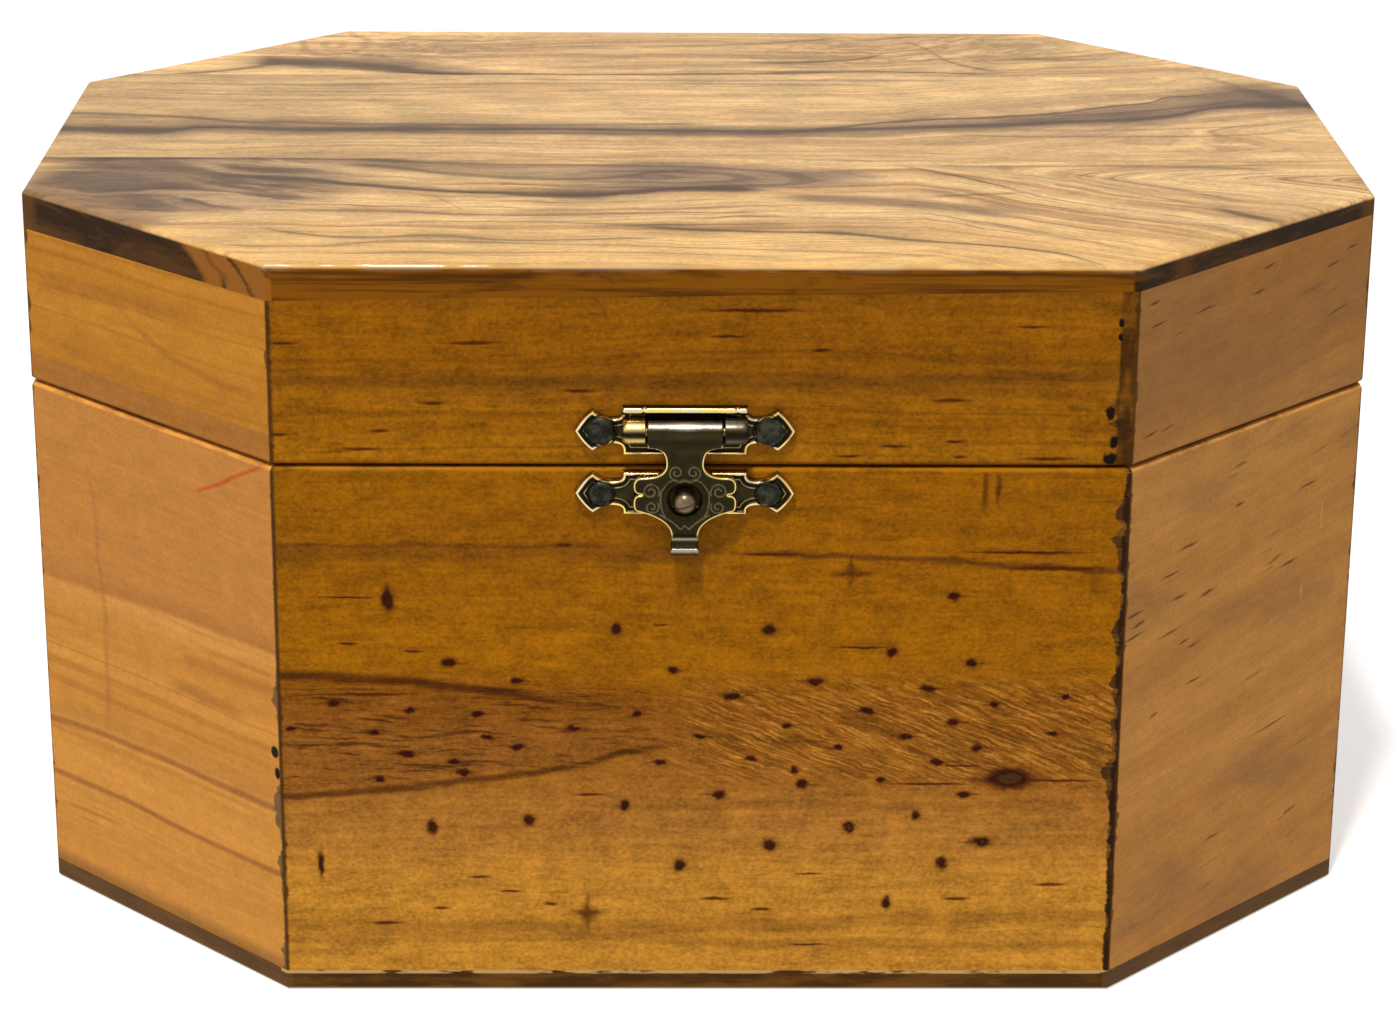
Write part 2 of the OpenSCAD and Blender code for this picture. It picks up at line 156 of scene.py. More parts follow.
class Finish(Nodes):
    """One procedural material. Its colour and its height are built up step by step."""

    def __init__(self, name, **constants):
        self.material = bpy.data.materials.new(name)
        self.material.use_nodes = True
        super().__init__(self.material.node_tree)
        self.shader = self.tree.nodes["Principled BSDF"]
        self.colour, self.height = None, None
        for socket, value in constants.items():
            self.shader.inputs[socket.replace("_", " ")].default_value = value

    def place(self, turn=0.0, middle=0.0):
        """Object coordinates in millimetres, turned about the upright so that x runs along a board from its
        middle."""
        where = self.node("ShaderNodeTexCoord", out="Object")
        return self.node("ShaderNodeMapping", {"vector_type": "POINT"}, {
            "Vector": where, "Location": (-middle, 0, 0), "Rotation": (0, 0, math.radians(turn)),
            "Scale": (1 / MM,) * 3})

    def split(self, p):
        parts = self.node("ShaderNodeSeparateXYZ", None, {0: p})
        return [Val(self, s) for s in parts.socket.node.outputs]

    def join(self, x, y, z):
        return self.node("ShaderNodeCombineXYZ", None, {0: x, 1: y, 2: z})

    def vector(self, operation, *values):
        return self.node("ShaderNodeVectorMath", {"operation": operation}, dict(enumerate(values)))

    def noise(self, p, stretch, seed, detail=2.0, rough=0.5, distort=0.0, out=0):
        """Noise whose cells per millimetre along x, y and z are given by stretch."""
        q = self.vector("MULTIPLY_ADD", p, stretch, (seed * 7.31, seed * 3.17, seed * 5.73))
        return self.node("ShaderNodeTexNoise", {"noise_dimensions": "3D"}, {
            "Vector": q, "Scale": 1.0, "Detail": detail, "Roughness": rough, "Distortion": distort}, out)

    def sway(self, p, stretch, seed, reach, detail=2.0, rough=0.5):
        """Noise about nought, spread over a reach in millimetres."""
        return (self.noise(p, stretch, seed, detail, rough) - 0.5) * reach

    def ragged(self, z, cells, seed, detail, rough):
        """Noise that changes only with the height."""
        return self.noise(self.join(0.0, 0.0, z), (0, 0, cells), seed, detail, rough)

    def jitter(self, p, cells, seed):
        """Small shifts in all three directions."""
        return self.vector("SUBTRACT", self.noise(p, (cells,) * 3, seed, 2, out=1), (0.5,) * 3)

    def rise(self, value, low, high):
        """Smooth step from 0 at low to 1 at high, either way round."""
        up = high > low
        return self.node("ShaderNodeMapRange", {"interpolation_type": "SMOOTHSTEP"}, {
            0: value, 1: min(low, high), 2: max(low, high), 3: 0.0 if up else 1.0, 4: 1.0 if up else 0.0})

    def mix(self, under, over, amount):
        return self.node("ShaderNodeMix", {"data_type": "RGBA"}, {0: amount, 6: under, 7: over}, out=2)

    def tint(self, mask, colour):
        """Lays a colour over what is there, as far as the mask says."""
        self.colour = self.mix(self.colour, colour, mask)

    def ramp(self, value, stops):
        return self.node("ShaderNodeValToRGB", {"stops": stops}, {0: value})

    def shade(self, colour, value):
        """A colour made lighter or darker by a factor."""
        return self.node("ShaderNodeVectorMath", {"operation": "SCALE"}, {0: colour, "Scale": value})

    def bend(self, along, points):
        """Smooth curve through given points: how far across it lies at each place along."""
        xs, zs = np.array(points, float).T
        low, span = zs.min(), max(np.ptp(zs), 1e-3)
        part = self.node("ShaderNodeMapRange", None, {0: along, 1: xs[0], 2: xs[-1]})
        shape = list(zip((xs - xs[0]) / (xs[-1] - xs[0]), (zs - low) / span))
        return self.node("ShaderNodeFloatCurve", {"points": shape}, {"Value": part}) * span + low

    def line(self, along, across, points, width, fade, swell=None, skirt=0.0):
        """Soft line along such a curve, faded out at its ends. Swell thins or thickens it from place to
        place, and skirt is the strength of a wide haze on both its sides."""
        away = abs(across - self.bend(along, points))
        if swell:
            away = away * swell
        first, last = points[0][0], points[-1][0]
        ends = self.rise(along, first, first + fade) * self.rise(along, last, last - fade)
        mark = self.rise(away, width, width * 0.15)
        if skirt:
            mark = mark * (1 - skirt) + self.rise(away, width * 3.5, 0.0) * skirt
        return mark * ends

    def lines(self, along, across, lines, fade, colour, swell=None, skirt=0.0):
        """Lays lines of one colour, each given by its points, its width and its strength."""
        for points, width, amount in lines:
            self.tint(self.line(along, across, points, width, fade, swell, skirt) * amount, colour)

    def outside(self, x, y):
        """One on the outer faces of the octagon, nought from a millimetre inside it."""
        out = (abs(x) - HALF_W) | (abs(y) - HALF_D) | ((abs(x) + abs(y) - DIAGONAL) * 0.7)
        return self.rise(out, -0.9, -0.5)

    def on_corner(self, x, y):
        """One on the four slanting faces of the octagon."""
        return self.rise(abs(x) + abs(y), DIAGONAL - 1.0, DIAGONAL - 0.6)

    def spots(self, p, places, axes):
        """Smallest of the distances to the spots, each measured in its own half widths along two axes."""
        nearest = None
        for u, v, half_u, half_v in places:
            scale, shift = [0.0, 0.0, 0.0], [0.0, 0.0, 0.0]
            for axis, centre, half in ((axes[0], u, half_u), (axes[1], v, half_v)):
                scale[axis], shift[axis] = 1 / half, -centre / half
            away = self.node("ShaderNodeVectorMath", {"operation": "LENGTH"},
                             {0: self.vector("MULTIPLY_ADD", p, scale, shift)}, out=1)
            nearest = away if nearest is None else nearest & away
        return nearest

    def marks(self, p, places, low, high, axes=ACROSS_UP):
        """Such spots with soft edges: nought from low half widths out, one from high inwards."""
        return self.rise(self.spots(p, places, axes), low, high)

    def done(self, rough, depth, coat=None):
        """Links what varies to the shader; depth is the height of the bump in millimetres."""
        bump = self.node("ShaderNodeBump", None, {
            "Strength": 1.0, "Distance": depth * MM, "Height": self.height})
        varying = {"Base Color": self.colour, "Roughness": rough, "Normal": bump, "Coat Weight": coat}
        for socket, value in varying.items():
            if value:
                self.link(value, self.shader, socket)
        return self.material


KNOT = rgb(56, 24, 6)
RESIN = rgb(46, 4, 0)
FILLER = rgb(72, 44, 15)
VARNISH = dict(Specular_IOR_Level=0.04, Coat_Weight=0.02, Coat_Roughness=0.08)
# How far the middle of a corner board lies along its own face, by the board's turn
MIDDLES = {45: -15.91, -45: 15.91, 135: 15.91, -135: -15.91}


def pine(name, turn, tones, seed, slope=0.0, half=FRONT_HALF, dash=0.7, drawn=None, grit=0.6):
    """Varnished pine: broad bands and thin late-wood lines across the grain, fine fibres, mottling and short
    dark resin dashes, with a ragged dark glue line at each end of the board. Just under the parting line a
    pale painted highlight stands for the eased edge catching the light, and just over it a painted shade
    stands for the dark gap."""
    pale, deep, late = tones
    f = Finish(name, **VARNISH)
    p = f.place(turn, MIDDLES.get(turn, 0.0))
    x, y, z = f.split(p)
    q = f.join(x, y, z - x * slope + f.sway(p, (0.012, 0.03, 0.03), seed, 6))
    bands = f.rise(f.noise(q, (0.003, 0.06, 0.15), seed + 1, 3, 0.55), 0.32, 0.68)
    rings = f.rise(abs(f.noise(q, (0.0016, 0.05, 0.20), seed + 2, 1) - 0.5), 0.03, 0.0)
    fibre = f.noise(q, (0.10, 0.8, 1.3), seed + 3, 4, 0.6)
    mottle = f.noise(p, (0.28, 0.3, 0.4), seed + 4, 4, 0.6)
    speck = f.noise(p, (1.8, 1.8, 2.4), seed + 7, 3, 0.7)
    dashes = f.rise(f.noise(q, (0.085, 0.25, 1.0), seed + 5, 2, 0.4), 0.70, 0.76)
    dashes = dashes * f.rise(f.noise(p, (0.03, 0.05, 0.05), seed + 6), 0.45, 0.6) * dash
    f.colour = f.mix(deep, pale, bands)
    f.tint(rings * 0.4, late)
    f.height = fibre * 0.5 + speck * 0.2 - dashes
    if drawn:
        drawn(f, p, x, z)
    rough_sawn = (fibre - 0.5) * 0.9 + (mottle - 0.5) * 1.0 + (speck - 0.5) * 1.5
    f.colour = f.shade(f.colour, 1.0 + rough_sawn * grit)
    f.tint(dashes, KNOT)
    ragged = f.noise(p, (0.02, 0.02, 0.32), seed + 8, 3, 0.6)
    glue = f.rise(abs(x) - (half - 0.1 - f.rise(ragged, 0.5, 0.72) * 0.6), -0.25, 0.15)
    f.tint(glue * 0.8, FILLER)
    # Painted highlight: a broken pale strip just under the parting line, where the eased edge catches the
    # light
    under = f.rise(z, PARTING_Z - 0.8, PARTING_Z - 0.5) * f.rise(z, PARTING_Z, PARTING_Z - 0.1)
    f.tint(under * f.rise(fibre + mottle, 0.85, 1.1) * 0.7, f.shade(pale, 1.3 + speck * 0.2))
    # Painted shade: a darker red-brown strip just over the parting line, for the shade of the gap
    over = f.rise(z, PARTING_Z + 0.8, PARTING_Z + 0.3) * f.rise(z, PARTING_Z, PARTING_Z + 0.1)
    f.tint(over * 0.3, rgb(88, 38, 6))
    f.height = f.height - glue * 0.7
    return f.done(0.46 + (fibre - 0.5) * 0.2 + glue * 0.2, 0.08)


# Pin knots of the front board: across from the middle, up from the table, half width, half height
PIN_KNOTS = [
    (-10.5, 50, .6, .8), (8.5, 50, .8, .7), (-3.5, 44.5, .7, .45), (24, 47, .6, .6), (34, 45.5, .7, .6),
    (31.5, 54.5, .8, .6), (-39, 54, .7, 1.6), (-31.5, 45.5, .9, .6), (-23, 43, .7, .5), (14.5, 43, .9, .5),
    (28.5, 42, .9, .5), (4, 41, 1.0, .4), (37, 40, .6, .4), (-8, 38.5, .6, .4), (11, 37, .6, .4),
    (21, 39, .9, .5), (32, 37.5, .8, .5), (-28, 38.5, .7, .4), (-36.5, 39, .6, .4), (-46, 40, .7, .5),
    (0, 35.5, .7, .35), (17.5, 34, .6, .35), (26, 35.5, .8, .45), (35, 34, .7, .45), (6.5, 32.5, .7, .4),
    (12, 31, .5, .5), (-23, 34, .8, .4), (-5, 32, .8, .35), (23, 29.5, .6, .45), (30, 32, .8, .45),
    (39.3, 29.7, 2.9, 1.5), (13, 29, .6, .5), (33.5, 27.5, .8, .5), (2.5, 27.5, .8, .6), (27.5, 24.7, .6, .6),
    (19, 23, .8, .7), (36, 21, 1.1, .7), (9, 20.5, .8, .8), (31, 18, .7, .8), (24, 12.5, .55, .8),
    (-2.5, 17.7, .7, .8), (-9.5, 26, .6, .6), (-21.5, 24, .7, .7), (-34, 23, .7, .9), (-30, 30.5, .8, .45),
    (-48.2, 17.7, .35, 1.5), (-41, 36, .8, .4), (-16, 36.6, .9, .4), (-37, 33, 1.0, .4), (-27, 35.4, .8, .35),
    (-51.5, 36.5, .6, .35), (-40.5, 29.7, .7, .5), (-31, 32, .7, .35), (44.5, 36, .7, .35), (46, 41, .5, .35),
]
# Resin dashes of the front and right-hand boards: across, up, half length, half thickness
BODY_DASHES = [
    (40, 60.3, 9, .22), (44, 58.2, 8, .35), (8.5, 60, 4.5, .25), (-17, 61.2, 1.2, .3), (20, 47.6, 4, .2),
    (-42, 41.2, 7, .25), (-44, 54.2, 4, .16), (14, 16.5, 2, .2), (-28, 16, 1.6, .25), (-24, 14, 1.8, .2),
    (-40, 9.5, 2.4, .3), (8, 11.5, 1.6, .3), (2, 13, 2.2, .3), (33, 13, 2, .3), (45, 15, 2.4, .3),
    (-33, 11.6, 1.2, .3), (-19, 12.2, 1, .3), (14, 6.5, 3, .2), (33, 31.5, 3, .2), (29, 29, 6, .2),
    (46, 29.5, 5, .2), (-14, 27.5, 2.4, .2), (-36, 47, 1.6, .2), (-44, 48, 1.6, .25), (-5, 50.6, 1.2, .15),
]
LID_DASHES = [
    (-51, 87.2, 1.8, .22), (-28, 87.3, 3.6, .3), (-15, 81.2, 2.2, .25), (-33, 79.6, 1.8, .25),
    (-39.5, 76, 1.4, .25), (-52, 75.5, 1.4, .25), (-42, 73.7, 2.6, .25), (6.5, 91.5, 7, .25),
    (3, 88.2, 2.4, .22), (14.5, 86.5, 1.4, .25), (30.3, 80.1, 2.6, .28), (23.5, 74.2, 2, .25),
    (31, 74.8, 1.4, .22), (18, 72.9, 2, .2), (31.7, 72.8, 1, .25), (42.5, 72.6, 3.6, .3), (40, 89.5, 2, .2),
]
RIGHT_BODY_DASHES = [
    (13.5, 60, 2, .3), (-1.5, 61, 1, .35), (-12, 58, 2, .35), (-15.5, 55, 1.8, .3), (10, 50, 1.8, .3),
    (-13.5, 51.5, 1.4, .4), (-7.5, 50.5, 1.4, .45), (-22.5, 51.5, 1.6, .35), (-21.5, 50, 1.3, .45),
    (-22.5, 48.5, 1.8, .4), (-15, 47, 2, .25), (-12, 45, 1, .35), (-10, 44, 1.2, .3), (-9.5, 39, 1.6, .25),
    (-17.5, 36.5, .8, .3), (8, 27.5, 3.6, .22), (-3.5, 15, 1.6, .25),
]
RIGHT_LID_DASHES = [
    (2, 92, 1.2, .35), (0, 89, 1.2, .4), (16, 89.5, 1.2, .3), (20, 91, 1.2, .25), (-11, 89, 2, .25),
    (-21.5, 92, 1, .35), (-20.5, 89, 1.6, .25), (-21, 75, 1.4, .3), (-17.5, 75, 1.2, .2),
]
RIGHT_SCUFFS = [(13.5, 45, .35, 1.8), (17, 55, .3, 2.4), (21.5, 29, .35, 2.6)]
# How far the dashes of the right-hand boards climb for each millimetre along
CLIMB = 0.1
# Height over which the tones of the front board run
TONES_UP = 72.0


def front_body(f, p, x, z):
    """Amber above, honey below, with a red-brown figured band between two curved growth lines on the left,
    slanting ripples on the right, and the pin knots with their smeared tails."""
    drift = f.sway(p, (0.05, 0.05, 0.12), 31, 5, 3)
    f.tint(0.86, f.ramp((z + drift) / TONES_UP, [
        (0.0, rgb(197, 138, 48)), (0.30, rgb(192, 133, 46)), (0.40, rgb(160, 102, 26)),
        (0.52, rgb(146, 89, 14)), (0.60, rgb(156, 97, 4)), (1.0, rgb(140, 85, 1))]))
    wobble = f.sway(p, (0.12, 0.1, 0.3), 32, 2.2, 3, 0.6)
    swayed = z + wobble
    cross = f.noise(p, (1.0, 0.5, 0.14), 38, 3, 0.6)
    f.tint(f.rise(cross, 0.54, 0.75) * f.rise(z, 40, 50) * 0.35, rgb(118, 70, 8))
    # the figured band
    along = x + FRONT_HALF
    inside = f.rise(swayed, 45.2, 40.5) * f.rise(swayed - along * 0.13, 25.5, 28.5) * f.rise(x, 6, -16)
    figure = f.noise(f.join(x, z * 0.3, z + wobble * 0.8 + along * 0.02), (0.15, 0.1, 1.7), 33, 3, 0.6)
    f.tint(f.rise(swayed, 42, 18) * f.rise(swayed, 14, 24) * 0.7, rgb(160, 104, 44))
    f.tint(inside * 0.75, f.mix(rgb(140, 85, 28), rgb(124, 70, 10), f.rise(swayed, 34, 42)))
    f.tint(inside * f.rise(figure, 0.52, 0.64) * 0.85, rgb(80, 42, 9))
    f.tint(inside * f.rise(figure, 0.46, 0.34) * 0.5, rgb(160, 100, 38))
    fray = f.rise(figure + along * -0.003, 0.15, 0.40)
    upper = [(-66, 43.8), (-53, 43.7), (-44, 43.4), (-28, 41.9), (-16, 40), (-8, 39)]
    lower = [(-66, 26.8), (-53, 27.2), (-40, 28.2), (-28, 29.6), (-18, 31), (-8, 33.6), (4, 35.4)]
    for points, width, amount in ((upper, 1.1, 0.9), (lower, 0.8, 0.8)):
        f.tint(f.line(x, z + wobble * 0.45, points, width, 13) * fray * amount, rgb(74, 34, 4))
    # slanting ripples
    ripple = f.noise(f.join(x * 0.2, 0.0, z + x * 0.42 + wobble), (1.2, 1.0, 3.3), 34, 3, 0.55, 0.2)
    field = f.rise(x, -10, 6) * f.rise(swayed, 26.5, 32) * f.rise(swayed, 46, 40)
    f.tint(field * 0.5, rgb(142, 86, 22))
    f.tint(field * f.rise(ripple, 0.49, 0.64) * 0.65, rgb(96, 54, 12))
    f.tint(field * f.rise(ripple, 0.50, 0.34) * 0.7, rgb(190, 130, 50))
    # growth lines under the latch and near the foot
    f.lines(x, swayed, (
        ([(-66, 60.6), (-50, 61), (-20, 61.2), (-8, 60.6)], 0.5, 0.6),
        ([(-66, 59.6), (-40, 60), (-14, 60.2), (6, 59)], 2.0, 0.45),
        ([(2, 60), (13, 60), (24, 59.4), (36, 58.8), (44, 58.3), (66, 57)], 0.65, 0.85),
        ([(30, 61), (40, 60.6), (50, 60)], 0.4, 0.5),
        ([(-60, 9.6), (-30, 9.2), (0, 9), (30, 10.2), (60, 10.4)], 1.6, 0.32),
        ([(-60, 7), (-20, 7.6), (20, 6.4), (60, 7)], 1.2, 0.25),
        ([(-10, 25.4), (10, 26.2), (30, 26.0), (52, 27)], 1.2, 0.25)), 8, rgb(96, 52, 12))
    # knots, their tails, the dashes and a few smudges
    shake = f.jitter(p, 0.9, 35)
    shaken = f.vector("MULTIPLY_ADD", shake, (0.9,) * 3, p)
    knots = f.spots(shaken, [(u, v, a * 0.92, b * 0.92) for u, v, a, b in PIN_KNOTS], ACROSS_UP)
    core = f.rise(knots, 1.45, 0.65)
    tails = [(u + (0.7 if i % 3 else -0.7), v, a * 3.0, b * 0.36)
             for i, (u, v, a, b) in enumerate(PIN_KNOTS) if a > b * 1.15]
    dashes = f.marks(f.vector("MULTIPLY_ADD", shake, (0.3,) * 3, p), BODY_DASHES, 1.2, 0.35)
    f.tint(f.marks(shaken, tails, 1.1, 0.2) * 0.75, rgb(90, 40, 4))
    f.tint(f.rise(knots, 2.2, 0.9) * 0.5, rgb(98, 46, 4))
    f.tint(dashes * 0.88, rgb(74, 22, 0))
    f.tint(core * 0.94, RESIN)
    hearts = f.marks(shaken, [(39.3, 29.7, 1.7, .8), (36, 21, .4, .3), (19, 23, .3, .3)], 1.1, 0.7)
    f.tint(hearts * 0.8, rgb(76, 46, 24))
    smudges = f.marks(shaken, [
        (-14.2, 10.8, 1.2, 1.6), (-14.2, 11, 2.4, .6), (-14.2, 11, .5, 2.6), (18.6, 57.6, 1.3, 1.1),
        (18.6, 57.4, 3.2, .5), (18.6, 57.8, .4, 2.2), (35, 68.6, .5, 3.0), (36.6, 68.8, .4, 2.6)], 1.3, 0.2)
    f.tint(smudges * 0.9, rgb(86, 44, 6))
    # ragged filler down the right-hand corner, a thin dark line down the left
    tooth = f.ragged(z, 0.42, 37, 4, 0.6)
    toothed = f.rise(tooth, 0.4, 0.6)
    bite = f.rise(f.ragged(z, 0.10, 36, 5, 0.5), 0.46, 0.70) * f.rise(tooth, 0.3, 0.66) * f.rise(z, 10, 18)
    filler = f.rise(x - (FRONT_HALF - 0.65 - bite * 2.3), -0.12, 0.1)
    f.tint(filler * 0.92, f.mix(rgb(112, 74, 32), rgb(62, 38, 14), toothed))
    f.tint(f.rise(x - (FRONT_HALF - 0.4 - toothed * 0.5), -0.15, 0.15) * 0.9, rgb(34, 18, 6))
    f.tint(f.rise(x, 0.55 - FRONT_HALF, 0.2 - FRONT_HALF) * 0.8, rgb(70, 44, 16))
    f.height = f.height + (field + inside) * (ripple - 0.5) * 1.6 - core * 1.5 - dashes * 0.8 - filler * 1.2


def front_lid(f, p, x, z):
    """Amber lid board with one dark growth line, resin dashes and a broad strip of filler at the right."""
    swayed = z + f.sway(p, (0.1, 0.1, 0.25), 41, 1.6, 3)
    cross = f.noise(p, (1.1, 0.5, 0.16), 43, 3, 0.6)
    f.tint(f.rise(cross, 0.52, 0.75) * 0.35, rgb(112, 68, 10))
    f.colour = f.shade(f.colour, 1.0 + f.rise(x, 0, -45) * 0.1)
    f.lines(x, swayed, [([(-53, 82.8), (0, 82.4), (30, 82.9), (53, 83.4)], 1.3, 0.65)], 4, rgb(104, 62, 10))
    f.tint(f.rise(swayed, 84, 80) * f.rise(swayed, 78.5, 81.5) * 0.35, rgb(120, 72, 12))
    f.tint(f.rise(swayed, 90, 93) * 0.3, rgb(96, 56, 8))
    shake = f.jitter(p, 0.7, 44)
    dashes = f.marks(f.vector("MULTIPLY_ADD", shake, (0.3,) * 3, p), LID_DASHES, 1.3, 0.3)
    f.tint(dashes * 0.9, rgb(74, 20, 0))
    bite = f.rise(f.ragged(z, 0.4, 45, 3, 0.6), 0.5, 0.7) * f.rise(z, 82, 79)
    filler = f.rise(x - (FRONT_HALF - 2.1 - bite * 1.5), -0.2, 0.2)
    mud = f.noise(p, (0.5, 0.5, 0.22), 46, 3, 0.6)
    f.tint(filler * 0.94, f.mix(rgb(58, 34, 6), rgb(110, 66, 10), f.rise(mud, 0.38, 0.62)))
    holes = f.marks(f.vector("ADD", p, shake), [
        (50.9, 90, .35, .6), (50.9, 88.2, .35, .6), (50.6, 74.8, .5, .8), (50, 78.5, .6, .9),
        (50.2, 72.6, .8, .9)], 1.2, 0.7)
    f.tint(holes, rgb(22, 10, 4))
    f.tint(f.rise(x, 0.7 - FRONT_HALF, 0.3 - FRONT_HALF) * 0.8, rgb(70, 44, 16))
    f.height = f.height - dashes * 0.8 - filler * 0.8 - holes


def left_lid(f, p, x, z):
    """Yellow-orange lid corner with a darker pinkish strip along the parting line and slow growth marks."""
    wobble = f.sway(p, (0.06, 0.1, 0.2), 51, 1.4, 3)
    f.tint(f.rise(z + wobble * 0.2, 75.6, 75.2) * 0.85, rgb(164, 106, 46))
    f.lines(x, z + wobble, (
        ([(-6, 86), (0, 83), (8, 80.8), (24, 79.8)], 0.8, 0.4),
        ([(-24, 84.5), (-10, 86.4), (12, 87)], 2.0, 0.35),
        ([(-24, 78.4), (0, 77), (24, 77.6)], 1.4, 0.25)), 6, rgb(150, 92, 34))


def left_body(f, p, x, z):
    """Tan corner, pinker towards the top, with slow brown growth lines, filler patches at its right edge, a
    brown foot and a short red stain."""
    wobble = f.sway(p, (0.05, 0.1, 0.16), 52, 2.4, 3)
    f.tint(f.rise(z + wobble, 24, 10) * 0.6, rgb(206, 142, 62))
    shelf = z + wobble * 0.2 - f.bend(x, [(-30, 44.2), (-11, 45.3), (2, 46.1), (14, 46.4), (30, 47)])
    f.tint(f.rise(shelf, -6, -1) * 0.35, rgb(220, 158, 84))
    f.tint(f.rise(shelf, -0.8, 0.4) * 0.75, rgb(186, 121, 56))
    f.tint(f.rise(shelf, 3, 0.3) * f.rise(shelf, -0.6, 0.2) * 0.5, rgb(168, 106, 52))
    f.lines(x, z + wobble * 0.25, (
        ([(-30, 22.6), (-14, 24.5), (0, 25), (12, 24.9), (30, 25.2)], 0.8, 0.75),
        ([(-30, 24.8), (-14, 26.4), (0, 26.8), (12, 26.6), (30, 26.6)], 2.4, 0.35),
        ([(-30, 15), (-10, 16.3), (5, 16), (16, 16.1), (30, 16.4)], 0.7, 0.75),
        ([(-23, 11.6), (-16, 12.2), (-8, 12.3)], 0.5, 0.5),
        ([(-21, 10.6), (-12, 11)], 0.4, 0.4),
        ([(3, 40.6), (14, 41), (26, 41.3)], 1.2, 0.45),
        ([(1, 36.7), (10, 36.5), (19, 36.2)], 1.4, 0.5),
        ([(8, 43), (16, 43.2), (26, 43.4)], 0.6, 0.35)), 5, rgb(152, 92, 44))
    scuff = f.line(z, x + wobble * 0.9, [(24, -14), (34, -10.8), (44, -11.1), (64, -13)], 0.8, 6)
    f.tint(scuff * 0.35, rgb(164, 98, 58))
    bite = f.rise(f.ragged(z, 0.14, 53, 4, 0.55), 0.48, 0.68) * f.rise(z, 48, 40)
    patch = f.rise(x - (CORNER_HALF - 0.1 - bite * 1.8), -0.3, 0.15)
    f.tint(patch * 0.9, rgb(104, 82, 52))
    f.tint(f.rise(z + wobble * 0.3, 5.4, 3.0) * 0.6, rgb(122, 82, 40))
    stain = f.line(x, z + wobble * 0.5, [(8, 63.8), (13, 66), (19.5, 69.4), (24.2, 71.6)], 0.5, 3)
    f.tint(stain * 0.7, rgb(190, 70, 34))
    holes = f.marks(p, [(23.4, 33, .7, .8), (23.8, 30.2, .5, .8)], 1.2, 0.8)
    f.tint(holes, rgb(26, 12, 6))
    f.height = f.height - patch * 0.8 - holes


def right_corner(seed, places):
    """Duller tan corner with short dark streaks that climb to the right, and broad cloudy shading."""
    def drawn(f, p, x, z):
        cloud = f.noise(p, (0.03, 0.05, 0.07), seed, 3, 0.6)
        f.tint(f.rise(cloud, 0.48, 0.66) * 0.55, rgb(146, 104, 60))
        climbing = f.join(x, 0.0, z - x * 0.16)
        streaks = f.rise(f.noise(climbing, (0.13, 0.2, 0.95), seed + 1, 2, 0.45), 0.67, 0.74)
        streaks = streaks * f.rise(f.noise(p, (0.05, 0.05, 0.06), seed + 2), 0.46, 0.6)
        sheared = f.join(x, 0.0, z - x * CLIMB + f.sway(p, (0.6, 0.6, 0.6), seed + 3, 0.5))
        dashes = f.marks(sheared, [(u, v - u * CLIMB, a * 1.1, b * 0.62) for u, v, a, b in places], 1.4, 0.2)
        f.tint(f.marks(p, RIGHT_SCUFFS, 1.2, 0.3) * 0.5, rgb(206, 152, 92))
        f.tint(streaks * 0.5, rgb(72, 46, 24))
        f.tint(dashes * 0.8, rgb(70, 42, 18))
        f.height = f.height - streaks * 0.5 - dashes
    return drawn


PALE, UMBER = rgb(230, 190, 134), rgb(78, 56, 40)
# Tones of strongly streaked olive wood over its grain: pale, dark, and pale again
OLIVE_TONES = [
    (0.28, rgb(236, 197, 139)), (0.45, rgb(226, 184, 125)), (0.55, rgb(204, 160, 106)),
    (0.62, rgb(160, 121, 82)), (0.74, rgb(224, 182, 124))]


